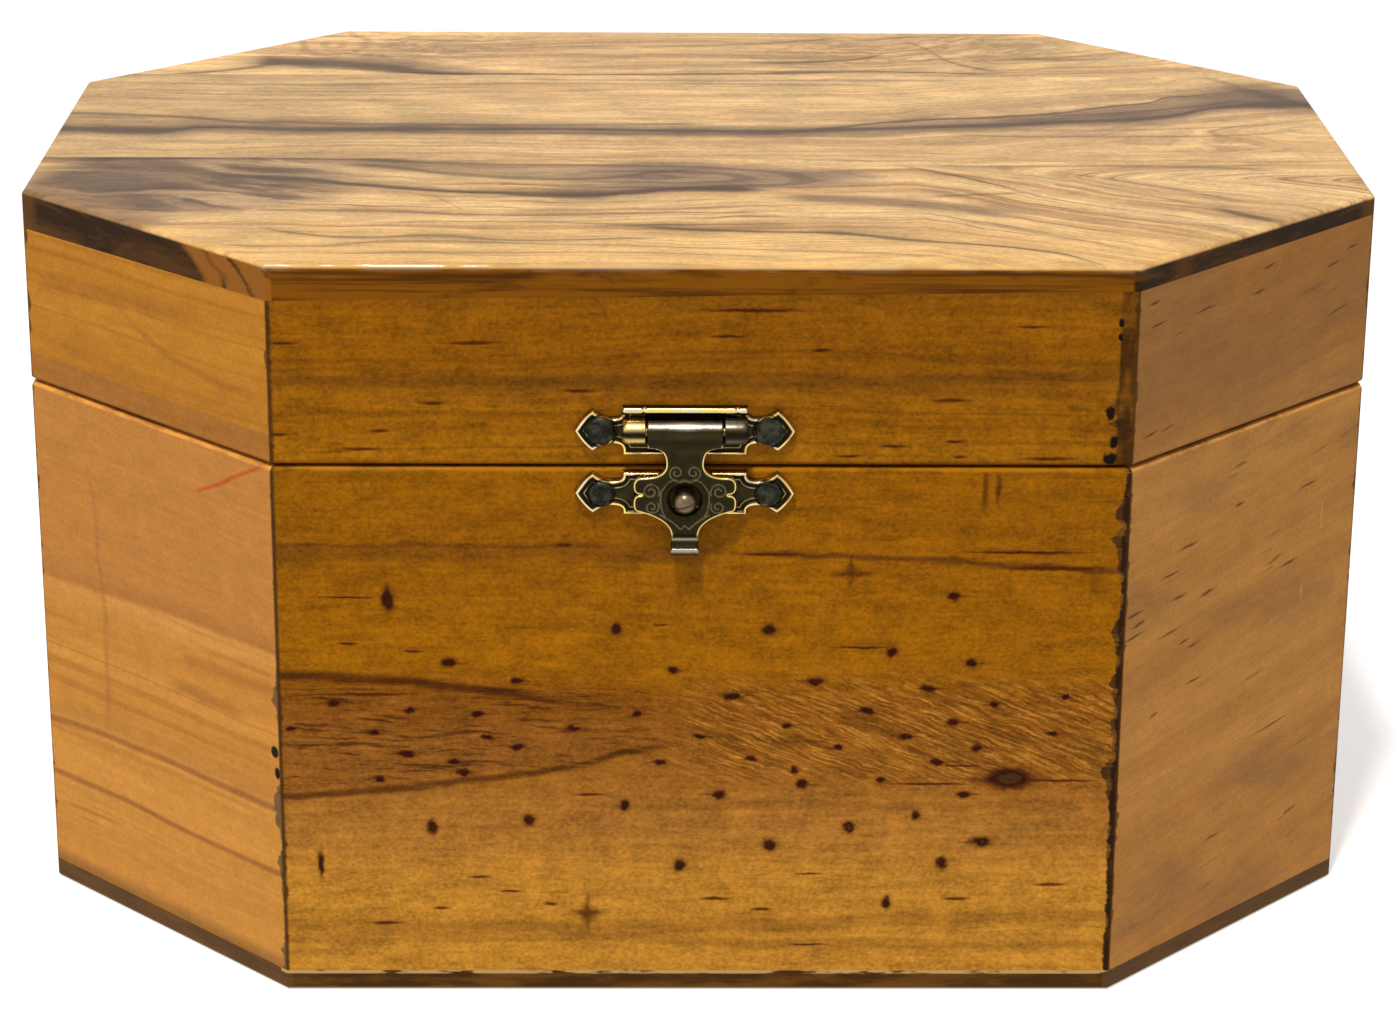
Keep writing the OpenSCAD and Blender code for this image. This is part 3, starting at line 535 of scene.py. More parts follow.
def olive(name, seed, streaks, drawn):
    """Varnished olive wood: pale, with fine lines drawn out along the board, bent by slow swirls, fanned out
    at the right and gathered into growth rings, and over them the smoky figure of that strip. A broken row
    of glints lies along the front edge."""
    f = Finish(name, **VARNISH)
    p = f.place()
    x, y, z = f.split(p)
    slow = f.sway(p, (0.012, 0.03, 0.03), seed, 14, 1)
    wave = f.sway(p, (0.05, 0.09, 0.09), seed + 1, 6, 3, 0.55)
    fan = ((x - 28) | 0.0) * (f.rise(y, -14, -24) * 0.6 - f.rise(y, -10, 6) * 0.3)
    q = f.join(x, y + slow + wave + fan, z)
    grain = f.noise(q, (0.007, 0.17, 0.16), seed + 2, 4, 0.62)
    fine = f.noise(q, (0.016, 0.9, 0.6), seed + 3, 3, 0.6)
    fibre = f.noise(q, (0.07, 2.2, 1.4), seed + 4, 4, 0.62)
    mottle = f.noise(p, (0.10, 0.2, 0.3), seed + 5, 3, 0.6)
    speck = f.noise(p, (1.1, 1.6, 1.6), seed + 7, 2, 0.6)
    ring = f.noise(q, (0.010, 0.05, 0.05), seed + 6, 1, 0.4)
    rings = f.rise((ring * 80 + fine * 3).sine(), 0.5, 0.95) * f.rise(mottle, 0.40, 0.60)
    f.colour = f.ramp(grain, [
        (at, np.array(PALE) * (1 - streaks) + np.array(tone) * streaks) for at, tone in OLIVE_TONES])
    f.tint(f.rise(fine, 0.54, 0.66) * f.rise(mottle, 0.36, 0.56) * streaks * 0.8, rgb(140, 100, 62))
    f.tint(rings * streaks * 0.35, rgb(148, 108, 68))
    drawn(f, p, q, x, y, y + wave * 0.3)
    rim = f.outside(x, y)
    calm = 1 - rim * f.rise(z, TOP_Z - 0.01, TOP_Z - 0.15) * 0.85
    flecked = ((fibre - 0.5) * 0.9 + (speck - 0.5) * 0.7) * calm
    f.colour = f.shade(f.colour, 1.03 + flecked + (mottle - 0.5) * 1.15)
    f.tint(f.rise(z, TOP_Z - 0.3, TOP_Z - 0.7) * rim, olive_edge(f, p, x, y, z, seed))
    broken = f.noise(p, (0.10, 0.05, 0.05), seed + 11, 3, 0.7)
    glint = f.rise(y, 0.8 - HALF_D, 0.4 - HALF_D) * f.rise(z, TOP_Z - 1.0, TOP_Z - 0.7)
    f.height = fibre
    return f.done(0.42 + (fibre - 0.5) * 0.2, 0.04, 0.03 + glint * f.rise(broken, 0.40, 0.56) * 0.9)


def olive_edge(f, p, x, y, z, seed):
    """Colour of the outer edges, which take the varnish deeper, as end grain does: amber layers on the front,
    umber on the corners, with slanting stripes at the left. The deeper amber of the upright front edge is
    partly that varnish and partly painted shade with warm bounced light."""
    burl = f.noise(p, (0.07, 0.07, 0.30), seed + 8, 4, 0.6, 0.9)
    layer = f.noise(p, (0.03, 0.03, 1.1), seed + 9, 4, 0.65)
    # Deep amber of the front edge: partly varnish, partly painted shade with warm bounced light
    front = f.mix(rgb(128, 76, 3), rgb(80, 43, 3), f.rise(layer, 0.42, 0.66))
    front = f.mix(front, rgb(70, 37, 3), f.rise(burl, 0.56, 0.68) * 0.65)
    lean = (abs(y) - abs(x)) * 0.7 + z * 1.1 + burl * 6
    umber = f.noise(f.join(lean, z, 0.0), (0.07, 0.28, 1.0), seed + 12, 4, 0.55, 0.8)
    umber = f.mix(rgb(82, 50, 12), rgb(44, 23, 0), f.rise(umber, 0.40, 0.58))
    umber = f.mix(umber, rgb(104, 66, 20), f.rise(abs(x), HALF_W - 2.7, HALF_W - 1.0) * 0.7)
    slant = f.noise(f.join(lean, z * 0.2, 0.0), (0.42, 0.3, 1.0), seed + 10, 4, 0.6)
    stripes = f.mix(rgb(82, 46, 6), rgb(146, 90, 26), f.rise(slant, 0.34, 0.50))
    stripy = f.rise(lean, 100.5, 103) * f.rise(x, -30, -40) * f.rise(y, -30, -40)
    return f.mix(front, f.mix(umber, stripes, stripy), f.on_corner(x, y))


def smoky_lines(f, p, x, swayed, lines, fade, seed, colour=UMBER):
    """Dark lines of the olive wood that swell and thin along the board and have a haze on both sides."""
    swell = 1.75 - f.rise(f.noise(p, (0.06, 0.05, 0.05), seed, 2), 0.3, 0.7) * 1.2
    widened = [(points, width * 1.15, amount) for points, width, amount in lines]
    f.lines(x, swayed, widened, fade, colour, swell, 0.3)


def front_strip(f, p, q, x, y, swayed):
    """Large smoky swirl at the left, a grey band along the seam that ends in a lens of folded rings, a long
    dark line under them, and wavy lines towards the front."""
    f.tint(f.rise(y, -40, -62) * 0.5, rgb(240, 190, 112))
    wobble = f.sway(p, (0.06, 0.12, 0.05), 61, 8, 3, 0.6)
    rim = f.bend(x, [(-100, -60), (-81, -55), (-75, -52), (-69, -47.5), (-64, -43.5), (-58, -40.5),
                     (-52, -37), (-45, -31.5), (-40, -25), (-34, -13)])
    swirl = f.rise(y + wobble * 0.7 - rim, -4.0, 4.5) * f.rise(x, -36, -56) * f.rise(x - y * 0.5, -80, -71)
    core = f.marks(f.join(x, y + wobble * 0.6, 0.0), [(-73, -22, 12, 11)], 1.5, 0.3, ACROSS_BACK)
    folds = f.noise(f.join(x, y + wobble * 1.2 + x * 0.25, 0.0), (0.035, 0.16, 1.0), 62, 3, 0.6, 0.8)
    tone = f.mix(rgb(190, 155, 115), rgb(96, 74, 58), f.rise(folds, 0.38, 0.60))
    tone = f.mix(tone, rgb(92, 71, 55), core * 0.8)
    tone = f.mix(tone, rgb(122, 84, 50), f.rise(x + y, -106, -116) * 0.6)
    f.tint(swirl * 0.92, tone)
    light = [(-70, -16), (-65.8, -17.5), (-60.6, -21.7), (-55.7, -23.3), (-46, -23.1)]
    f.tint(f.line(x, swayed, light, 2.6, 6) * 0.6, rgb(196, 160, 118))
    band = [(-52, -13.6), (-40, -16.2), (-29.7, -19), (-17.7, -20.4), (-5.8, -18), (4, -16)]
    f.tint(f.line(x, swayed, band, 5, 8) * 0.62, rgb(140, 112, 88))
    out = f.spots(f.join(x, swayed, 0.0), [(-6, -23, 30, 7.5)], ACROSS_BACK)
    lens = f.rise(out, 1.1, 0.75) * f.rise(x, -24, -6)
    f.tint(lens * 0.85, rgb(136, 109, 85))
    f.tint(lens * f.rise((out * 19 + x * 0.06 + wobble).sine(), 0.0, 0.9) * 0.6, rgb(96, 74, 58))
    shadow = f.line(x, swayed, [(6, -31), (16, -33.6), (25, -35.5), (33, -38.5), (44, -42)], 3.6, 9)
    f.tint(shadow * 0.8, rgb(132, 100, 74))
    smoky_lines(f, p, x, swayed, (
        ([(-100, -14.5), (-78, -14), (-60, -14), (-48, -14.2), (-36, -15.6)], 0.8, 0.7),
        ([(-66, -22.5), (-53, -24.4), (-43.5, -27.8), (-35, -30), (-26, -31.4), (-17.5, -32.5), (-8.8, -30.8),
          (0, -28.8), (10, -29.8)], 1.2, 0.9),
        ([(-22, -31.9), (-10, -31), (0, -29.4), (9, -30.6)], 1.7, 0.7),
        ([(-48, -16), (-40, -18.6), (-29.7, -22.4), (-17.7, -24), (-5.8, -20.6), (2, -18)], 0.8, 0.65),
        ([(-44, -14.6), (-32, -16), (-18, -17), (-6, -15.6)], 0.6, 0.55),
        ([(25, -15.6), (32.8, -20.9), (37.8, -25.6), (44, -31.6)], 0.6, 0.8),
        ([(28, -33), (44, -30)], 0.45, 0.7),
        ([(29, -16.2), (41.6, -16.8), (60, -16.6), (78, -19.6)], 0.7, 0.5),
        ([(-10, -47), (7, -49.7), (17.4, -50.6), (25.8, -53.3), (35.3, -55.7), (42.4, -58.8), (46.5, -62.2),
          (50, -68)], 0.8, 0.8),
        ([(-58, -41.4), (-46, -40.2), (-34.5, -41.1), (-23, -42.1), (0, -40.7), (10, -42)], 0.55, 0.6),
        ([(-56, -44.6), (-50.8, -51), (-42.3, -53), (-33.9, -51.9), (-22.7, -53.8), (-4, -52.6)], 0.6, 0.65),
        ([(-60, -56), (-50, -57), (-36, -54.6), (-15, -56), (8, -58), (30, -61)], 0.5, 0.5),
        ([(-46, -60.4), (-20, -59.4), (10, -62)], 0.5, 0.45),
        ([(-40, -46), (-24, -45), (-6, -46.4), (14, -44.6)], 0.5, 0.5),
        ([(63, -36), (66.1, -38.4), (70.2, -42.4), (76, -46)], 0.9, 0.8),
        ([(46, -19), (58.8, -26.5), (72, -36)], 0.5, 0.5),
        ([(40, -19.6), (52, -27), (66, -38)], 0.5, 0.45),
        ([(30, -43), (44, -51.4), (54, -59)], 0.6, 0.5)), 5, 63)
    f.tint(f.line(x, y, [(-35, -31.5), (-30, -40)], 0.35, 1) * 0.6, rgb(120, 84, 50))


def middle_strip(f, p, q, x, y, swayed):
    """Clean pale strip with one long dark streak, which takes in a branch at the left and opens into a smoky
    plume between two dark lines at the right."""
    streak = [(-100, 2.4), (-87, 2.2), (-74, 1.4), (-67, 3.4), (-55.6, 2.6), (-37, 2.9), (-21, 3.1), (0, 2.2),
              (12, 2), (18, 2.8), (25.7, 3.6), (39.8, 5.7), (50.3, 8), (60, 9.4), (66.8, 12), (74, 17),
              (81, 18.5), (100, 19)]
    branch = [(10, 2.4), (18, 3.6), (24.6, 6.8), (32.5, 9.4), (40.2, 10.5), (49.4, 12.6), (57.7, 16.8),
              (64.5, 19.7), (67.5, 23), (72, 24.4), (78, 29)]
    # Painted shade: the strip is made darker towards its left end
    f.colour = f.shade(f.colour, 0.84 + f.rise(x, -70, 0) * 0.16)
    f.tint(f.line(x, swayed, streak, 5.2, 6) * 0.75, rgb(134, 106, 82))
    plume = f.rise(swayed - f.bend(x, streak), -0.5, 1.5) * f.rise(swayed - f.bend(x, branch), 0.5, -1.5)
    f.tint(plume * f.rise(x, 26, 50) * 0.75, rgb(128, 101, 78))
    patch = f.marks(f.join(x, swayed, 0.0), [(79, 25, 9, 8)], 1.3, 0.4, ACROSS_BACK)
    f.tint(patch * 0.55, rgb(110, 86, 66))
    smoky_lines(f, p, x, swayed, (
        (streak, 1.8, 0.9),
        (branch, 0.9, 0.85),
        ([(46, 11), (58, 13), (68, 16.6), (80, 22.4)], 0.9, 0.6),
        ([(-100, 12), (-87, 11.4), (-78, 10.2), (-70.6, 8.9), (-62, 6.4), (-54, 4.4)], 1.0, 0.65),
        ([(-64, 7.4), (-55, 6.4), (-45, 5.7), (-29, 5.2), (-13, 5.8), (4, 7)], 0.9, 0.65),
        ([(-44, 1.2), (-29, 0.8), (-16, 0.6), (3, 0.2), (16, 1)], 0.8, 0.5),
        ([(40, 8.5), (54, 10.6), (66, 14.4)], 0.6, 0.5),
        ([(71, 38), (75, 34.5), (78.7, 30), (81, 25)], 3.0, 0.75),
        ([(75, 30), (80, 26), (86, 18.6), (93, 10)], 2.4, 0.7),
        ([(33, 1.4), (52, -0.6), (84, 4)], 0.5, 0.5),
        ([(40, 3), (60, 3.6), (86, 9)], 0.5, 0.4),
        ([(-84, 30), (-50, 29.4), (-10, 30.4), (30, 29)], 0.5, 0.45),
        ([(-86, 26), (-50, 25), (-10, 27)], 0.4, 0.4),
        ([(-30, 33), (0, 32.6), (40, 33.4)], 0.6, 0.45),
        ([(-84, -6), (-40, -5), (10, -8)], 0.4, 0.3)), 7, 64, rgb(84, 62, 46))


def back_strip(f, p, q, x, y, swayed):
    """Folded burl and a grey cloud at the left, flames at the right, with a dark wedge along the seam."""
    f.colour = f.shade(f.colour, 1.0 + f.rise(x, -15, -45) * 0.3)
    figure = f.noise(q, (0.06, 0.16, 0.1), 65, 4, 0.6, 1.4)
    zone = f.marks(p, [(-44, 54, 20, 14), (34, 52, 26, 15)], 1.3, 0.5, ACROSS_BACK)
    f.tint(zone * f.rise(abs(figure - 0.5), 0.08, 0.0) * 0.5, rgb(140, 102, 68))
    flat = f.join(x, swayed, 0.0)
    cloud = f.marks(flat, [(-41, 52, 11, 13)], 1.3, 0.5, ACROSS_BACK) * f.rise(figure, 0.3, 0.6)
    f.tint(cloud * 0.35, rgb(150, 120, 94))
    out = f.spots(flat, [(-54, 55, 7, 9)], ACROSS_BACK)
    f.tint(f.rise(out, 1.2, 0.8) * f.rise((out * 14 + figure * 8).sine(), 0.0, 0.8) * 0.4, rgb(150, 112, 74))
    halo = [(-72, 44), (-60, 43.2), (-52, 42.6), (-44, 41.6), (-36, 38.6), (-26, 36.4)]
    f.tint(f.line(x, swayed, halo, 5.5, 9) * 0.6, rgb(124, 98, 76))
    smoky_lines(f, p, x, swayed, (
        ([(-100, 32), (-84.6, 33.6), (-72, 36.7), (-60, 43.6)], 1.1, 0.7),
        ([(-66, 45), (-58, 42.8), (-52.5, 42), (-45.7, 40.1), (-38.9, 37.2), (-30, 35)], 2.4, 0.85),
        ([(-46, 39), (-34, 36.6), (0, 36.4), (26, 38), (44, 36.4)], 0.9, 0.75),
        ([(6, 44), (18, 45), (26, 48), (30, 60)], 0.8, 0.7),
        ([(31, 60), (35, 54), (38, 45), (46, 38)], 0.9, 0.65),
        ([(46, 48), (58, 47), (64, 51)], 1.0, 0.5),
        ([(-10, 54), (10, 57), (24, 62)], 0.6, 0.5)), 4, 66)


def base_finish():
    """Dark stained base board: a pale painted highlight along its lower edge and broken flecks of glue along
    its top.
    The floor of the box is left plain."""
    f = Finish("stained_base", Specular_IOR_Level=0.08)
    p = f.place()
    x, y, z = f.split(p)
    blot = f.noise(p, (0.10, 0.10, 0.5), 71, 4, 0.6)
    fibre = f.noise(p, (0.12, 0.12, 2.2), 72, 4, 0.6)
    stained = f.mix(rgb(66, 40, 8), rgb(104, 67, 20), f.rise(blot, 0.40, 0.64))
    stained = f.mix(stained, rgb(104, 74, 42), f.on_corner(x, y) * 0.5)
    plain = f.noise(p, (0.02, 0.35, 0.3), 74, 4, 0.6)
    plain = f.mix(rgb(176, 128, 76), rgb(142, 98, 54), f.rise(plain, 0.35, 0.65))
    rim = f.outside(x, y)
    f.colour = f.mix(plain, stained, rim | f.rise(z, 0.6, 0.3))
    f.colour = f.shade(f.colour, 1.0 + (fibre - 0.5) * 0.5)
    flecks = f.rise(f.noise(p, (0.16, 0.16, 0.6), 73, 3, 0.6), 0.40, 0.50)
    front = rim * f.rise(y, 1.0 - HALF_D, 0.6 - HALF_D)
    f.tint(front * f.rise(z, 2.25, 2.45) * flecks * 0.85, rgb(206, 168, 108))
    # Painted highlight: a pale line along the lower edge, where the eased edge catches the light
    f.tint(rim * f.rise(z, 0.5, 0.2) * 0.75, rgb(196, 172, 132))
    f.height = fibre
    return f.done(0.55 + (blot - 0.5) * 0.2, 0.08)


def brass(name, bare, dull, grime_and_shade_colour, seed):
    """Antique brass: dull brown-green skin, bare metal, golden or silvery, where it is rubbed, and grime in
    the hollows. The pieces carry how much of each they have: rubbed, grime and silver. On the knuckles, the
    hasp's roll and curl and the knob the same channels also carry painted highlights, painted reflections and
    painted shade."""
    f = Finish(name, Metallic=1.0)
    p = f.place()
    rubbed_and_highlit, grime_and_shade, silver = f.split(f.node("ShaderNodeAttribute", {"attribute_name": "wear"}, out="Vector"))
    cloud = f.noise(p, (0.5, 0.5, 0.5), seed, 4, 0.6)
    fine = f.noise(p, (3.0, 3.0, 3.0), seed + 1, 3, 0.6)
    f.colour = f.shade(dull, 0.2 + cloud * 1.6)
    f.tint(f.rise(rubbed_and_highlit + (fine - 0.5) * 0.15, 0.2, 0.85), f.mix(bare, rgb(200, 195, 186), silver))
    f.tint(f.rise(grime_and_shade + (cloud - 0.5) * 0.3, 0.3, 0.9) * 0.8, grime_and_shade_colour)
    f.height = fine
    return f.done(0.38 + (fine - 0.5) * 0.2 + grime_and_shade * 0.15 - rubbed_and_highlit * 0.14, 0.012)


def iron_finish():
    """Blued iron nail heads, hammered, with a brown bloom."""
    f = Finish("blued_nails", Metallic=1.0)
    p = f.place()
    cloud = f.noise(p, (0.7, 0.7, 0.7), 81, 4, 0.6)
    fine = f.noise(p, (2.6, 2.6, 2.6), 82, 3, 0.6)
    f.colour = f.mix(rgb(31, 31, 26), rgb(62, 62, 52), f.rise(cloud, 0.4, 0.65))
    f.tint(f.rise(fine, 0.58, 0.72) * 0.5, rgb(70, 52, 34))
    f.height = fine
    return f.done(0.42 + (fine - 0.5) * 0.3, 0.03)


def piece(name, made, finish, body, slot, *nodes):
    """Puts points, quads and their wear and painted light into a mesh, closes its seams and poles, and hangs
    it on its body.
    """
    points, quads, wear = made
    mesh = bpy.data.meshes.new(name)
    mesh.vertices.add(len(points))
    mesh.vertices.foreach_set("co", (points * MM).astype(np.float32).ravel())
    mesh.loops.add(quads.size)
    mesh.loops.foreach_set("vertex_index", quads.astype(np.int32).ravel())
    mesh.polygons.add(len(quads))
    mesh.polygons.foreach_set("loop_start", np.arange(0, quads.size, 4, dtype=np.int32))
    layer = mesh.attributes.new("wear", "FLOAT_VECTOR", "POINT")
    layer.data.foreach_set("vector", wear.astype(np.float32).ravel())
    mesh.update(calc_edges=True)
    mesh.validate()
    bm = bmesh.new()
    bm.from_mesh(mesh)
    bmesh.ops.remove_doubles(bm, verts=bm.verts, dist=WELD)
    bmesh.ops.dissolve_degenerate(bm, edges=bm.edges, dist=SLIVER)
    bmesh.ops.recalc_face_normals(bm, faces=bm.faces)
    bm.to_mesh(mesh)
    bm.free()
    mesh.polygons.foreach_set("use_smooth", np.ones(len(mesh.polygons), bool))
    mesh.set_sharp_from_angle(angle=CREASE)
    obj = bpy.data.objects.new(name, mesh)
    bpy.context.scene.collection.objects.link(obj)
    mesh.materials.append(finish)
    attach(obj, body)
    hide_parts(*nodes)


def grid_quads(rows, columns, wrap=False, start=0):
    """Quads of a grid of rows by columns, its columns joined round when wrap is set."""
    i, j = np.meshgrid(np.arange(rows - 1), np.arange(columns if wrap else columns - 1), indexing="ij")
    k = (j + 1) % columns
    return start + np.stack([i * columns + j, i * columns + k, (i + 1) * columns + k, (i + 1) * columns + j],
                            -1).reshape(-1, 4)


def worn_and_lit(count, rubbed_and_highlit=0.0, grime_and_shade=0.0, silver=0.0):
    """Wear and painted light of each point: how rubbed and highlit, how grimy and shaded, and how silvery it
    is.
    """
    return np.stack([np.broadcast_to(np.ravel(v), count) for v in (rubbed_and_highlit, grime_and_shade, silver)], -1)


def gather(*parts):
    """Joins several surfaces of points, quads and wear with painted light into one."""
    starts = np.cumsum([0] + [len(points) for points, _, _ in parts])
    return (np.concatenate([points for points, _, _ in parts]),
            np.concatenate([quads + start for (_, quads, _), start in zip(parts, starts)]),
            np.concatenate([wear for _, _, wear in parts]))


def curve(p, q, r, steps=14):
    """Points from p to r on the quadratic curve that heads for q, without the last."""
    t = np.linspace(0, 1, steps, endpoint=False)[:, None]
    p, q, r = (np.array(a, float) for a in (p, q, r))
    return p * (1 - t) ** 2 + q * 2 * t * (1 - t) + r * t ** 2


def distance(x, y, line):
    """Distance of every point from the nearest segment of a line of points."""
    best = np.full(x.shape, 1e9)
    for a, b in zip(line[:-1], line[1:]):
        d = b - a
        t = np.clip(((x - a[0]) * d[0] + (y - a[1]) * d[1]) / max(d @ d, 1e-12), 0, 1)
        best = np.minimum(best, np.hypot(x - a[0] - t * d[0], y - a[1] - t * d[1]))
    return best


def bump_at(value, centre, half):
    """Smooth hump of height 1 at a centre that falls to 0 within half either side."""
    t = np.clip(np.abs(value - centre) / half, 0, 1)
    return 0.5 + 0.5 * np.cos(np.pi * t)


def step_up(value, low, high):
    """Smooth step from 0 at low to 1 at high."""
    t = np.clip((value - low) / (high - low), 0, 1)
    return t * t * (3 - 2 * t)


def on_front(points, x, z):
    """Stands points (across, up, out) against the front of the box round a centre."""
    return np.stack([points[..., 0] + x, -HALF_D - points[..., 2], points[..., 1] + z], -1).reshape(-1, 3)


def plate_side(h):
    """Upper edge of a latch plate between the tips of its spears: straight middle, neck, barb and spear."""
    side = PLATE_W / 2
    shoulder, neck = (side, (h + NECK_H) / 4), (side + NECK_OUT, NECK_H / 2)
    barb, tip = (side + BARB_OUT, BARB_H / 2), (side + TIP_OUT, 0.0)
    right = np.concatenate([
        np.stack([np.linspace(0, side - 0.04, 80), np.full(80, h / 2)], -1),
        curve((side - 0.03, h / 2), (side - 0.01, h / 3), shoulder, 16),
        curve(shoulder, (shoulder[0], neck[1]), neck, 18),
        curve(neck, ((neck[0] + barb[0]) / 2, neck[1]), barb, 26),
        curve(barb, ((barb[0] + tip[0]) / 2, barb[1] * 0.75), tip, 34),
        [tip]])
    left = right[::-1] * (-1, 1)
    return np.concatenate([left[:-1], right])


def plate(h, nail_r, hasp):
    """Stamped plate as a closed ring of points at each place along its length. Its face is a height above the
    wood, worked out from the distance to the plate's edge: rounded edge, raised rim, hollow, thin bead, and
    for the hasp plate a rolled top edge and a dish behind the knuckle."""
    side = plate_side(h)
    t = np.linspace(-1, 1, 71)
    v = 0.45 * t + 0.55 * np.sin(t * np.pi / 2)
    x = np.repeat(side[:, :1], len(v), 1)
    y = side[:, 1:] * v
    outline = np.concatenate([side, side[::-1] * (1, -1)])
    d = distance(x, y, outline[::3])
    face = SHEET_T + RIM_H * (step_up(d, 0.0, 0.16) - step_up(d, 0.38, 0.62))
    face += 0.13 * bump_at(d, 1.02, 0.2) - 0.05 * step_up(d, 1.15, 1.4)
    face -= 0.42 * (1 - np.sqrt(1 - (1 - np.clip(d / 0.4, 0, 1)) ** 2))
    rubbed_and_highlit = 0.95 * bump_at(d, 0.18, 0.44) + 0.5 * bump_at(d, 1.0, 0.16)
    rubbed_and_highlit += 0.25 * np.sin(x * 1.9 + y) * (d < 0.4)
    grime_and_shade = bump_at(d, 0.72, 0.3) + 0.25 * step_up(d, 1.2, 1.6)
    for way in (-1, 1):
        head = np.hypot(x - way * NAIL_X, y)
        face = np.where(head < nail_r + 0.08, np.minimum(face, SHEET_T), face)
        grime_and_shade = np.maximum(grime_and_shade, bump_at(head, nail_r + 0.1, 0.3))
    if hasp:
        middle = np.clip((PLATE_W / 2 - np.abs(x)) / 0.35, 0, 1)
        roll_r = ROLL_R * np.sqrt(1 - (1 - middle) ** 2)
        for dent in (-5.0, 6.4):
            roll_r = roll_r * (1 - 0.35 * bump_at(x, dent, 0.35))
        roll = SHEET_T + np.sqrt(np.maximum(roll_r ** 2 - (y - (h / 2 - ROLL_R)) ** 2, 0))
        between = np.abs(x) < PLATE_W / 2
        top = (y > h / 2 - 2 * ROLL_R) & between
        face = np.where(top, np.maximum(face, roll), face)
        # Crest of the rolled top edge bared bright: partly rubbed, partly a painted highlight
        rubbed_and_highlit = np.where(top, bump_at(y, h / 2 - 0.35, 0.5), rubbed_and_highlit)
        # Dark band just under the roll: grime and painted shade where the roll overhangs
        grime_and_shade = np.where(top, 0.0, np.maximum(grime_and_shade, bump_at(y, h / 2 - 1.3, 0.5) * between))
        dish = step_up(BARREL_LEN / 2 + 0.2 - np.abs(x), -0.01, 0.05) * step_up(
            BARREL_R + 0.3 - np.abs(y - PIN_RISE), -0.02, 0.1)
        face = face * (1 - dish) + 0.12 * dish
        # The dish behind the knuckle is darkened fully: grime and painted shade in the recess
        grime_and_shade = np.maximum(grime_and_shade, dish)
        rubbed_and_highlit = rubbed_and_highlit * (1 - dish)
    foot = ((0, 0), (1, 1))
    ring = np.pad(np.stack([x, y, face], -1), (*foot, (0, 0)), "edge")
    ring[:, [0, -1], 2] = 0.0
    silver = 0.2 + 0.3 * np.sin(ring[..., 0] * 0.9 + ring[..., 1] * 0.5)
    wear = worn_and_lit(ring.size // 3, np.pad(rubbed_and_highlit, foot), np.pad(grime_and_shade, foot), silver)
    return ring.reshape(-1, 3), grid_quads(*ring.shape[:2], wrap=True), wear


def knuckle(low, high, back, round_low, round_high, shine, silver, turns=64):
    """Knuckle round a pin along x: at each angle the section runs from the bore out to the skin and back,
    with rounded ends. The skin is round in front and squares off behind, down to its web on the plate."""
    a = np.linspace(0, 2 * np.pi, turns + 1)[:, None]
    sine, cosine = (np.maximum(np.abs(v), 1e-6) for v in (np.sin(a), np.cos(a)))
    skin = np.where(np.cos(a) >= 0, BARREL_R, np.minimum(BARREL_R / sine, back / cosine))
    k = np.linspace(0, np.pi / 2, 7)
    slow, fast = 1 - np.cos(k), 1 - np.sin(k)
    xs = np.concatenate([[low], low + round_low * slow, high - round_high * fast, [high]])
    inset = np.concatenate([[0], round_low * fast, round_high * slow, [0]])
    radius = skin - inset
    radius[:, [0, -1]] = PIN_R
    points = np.stack(np.broadcast_arrays(xs, radius * np.sin(a), radius * np.cos(a)), -1)
    around = np.repeat(a, len(xs), 1)
    # Painted reflection: the top and bottom of the skin are bared bright, for the bright room above and
    # below, as far as shine says
    rubbed_and_highlit = shine * np.abs(np.sin(around)) ** 0.7
    # Painted reflection: a dark band on the side facing the front, for the dark side of the room
    wear = worn_and_lit(around.size, rubbed_and_highlit, np.maximum(np.cos(around), 0) ** 10 * 0.8, silver)
    return points.reshape(-1, 3), grid_quads(turns + 1, len(xs), wrap=True), wear


def spiral(x, q, radius, turns, start, way):
    """Points of a scroll that winds in evenly to a quarter of its radius."""
    t = np.linspace(0, 1, 50)
    a = start + way * t * turns * 2 * np.pi
    r = radius * (1 - 0.75 * t)
    return np.stack([x + r * np.cos(a), q + r * np.sin(a)], -1)


def leaf_side():
    """Right edge of the hasp, as half widths against the distance below the pin: root, neck, winged lobes
    with a cusp between them, and the tongue."""
    side, lobe, taper = 6.35, 1.2, 3.2
    low, top = -HOLE_DROP - 1.5, -HOLE_DROP + 3
    root, neck = (BARREL_LEN / 2, -1.9), (2.35, -4.1)
    cusp, heel, tongue = (side - 1, (top + low) / 2), (side - lobe / 2, low), (TONGUE_HALF, low - taper)
    return np.concatenate([
        curve(root, (neck[0], root[1]), neck, 20),
        curve(neck, (neck[0], top), (side - lobe, top), 30),
        curve((side - lobe, top), (side, top), (side, top - lobe), 16),
        curve((side, top - lobe), (side, cusp[1]), cusp, 16),
        curve(cusp, (side, cusp[1]), (side, low + lobe), 16),
        curve((side, low + lobe), (side, low), heel, 16),
        curve(heel, (tongue[0], low - taper / 3), tongue, 30),
        [tongue]])


def leaf_path(q):
    """Middle line of the hasp's sheet seen from the side: rolled round the pin, eased back to the flat leaf,
    then curled out at the tongue. q runs down from the roll; returns (front to back, up)."""
    mid, ease = BARREL_R - SHEET_T / 2 - 0.02, 2.6
    beta, t = q / mid, np.clip(-q / ease, 0, 1)
    alpha = (-TONGUE_END - q) / CURL_R
    y = np.where(q > 0, -mid * np.cos(beta), -mid * (1 - t * t * (3 - 2 * t)))
    z = np.where(q > 0, mid * np.sin(beta), q)
    y = np.where(q < -TONGUE_END, -CURL_R + CURL_R * np.cos(alpha), y)
    return y, np.where(q < -TONGUE_END, -TONGUE_END - CURL_R * np.sin(alpha), z)


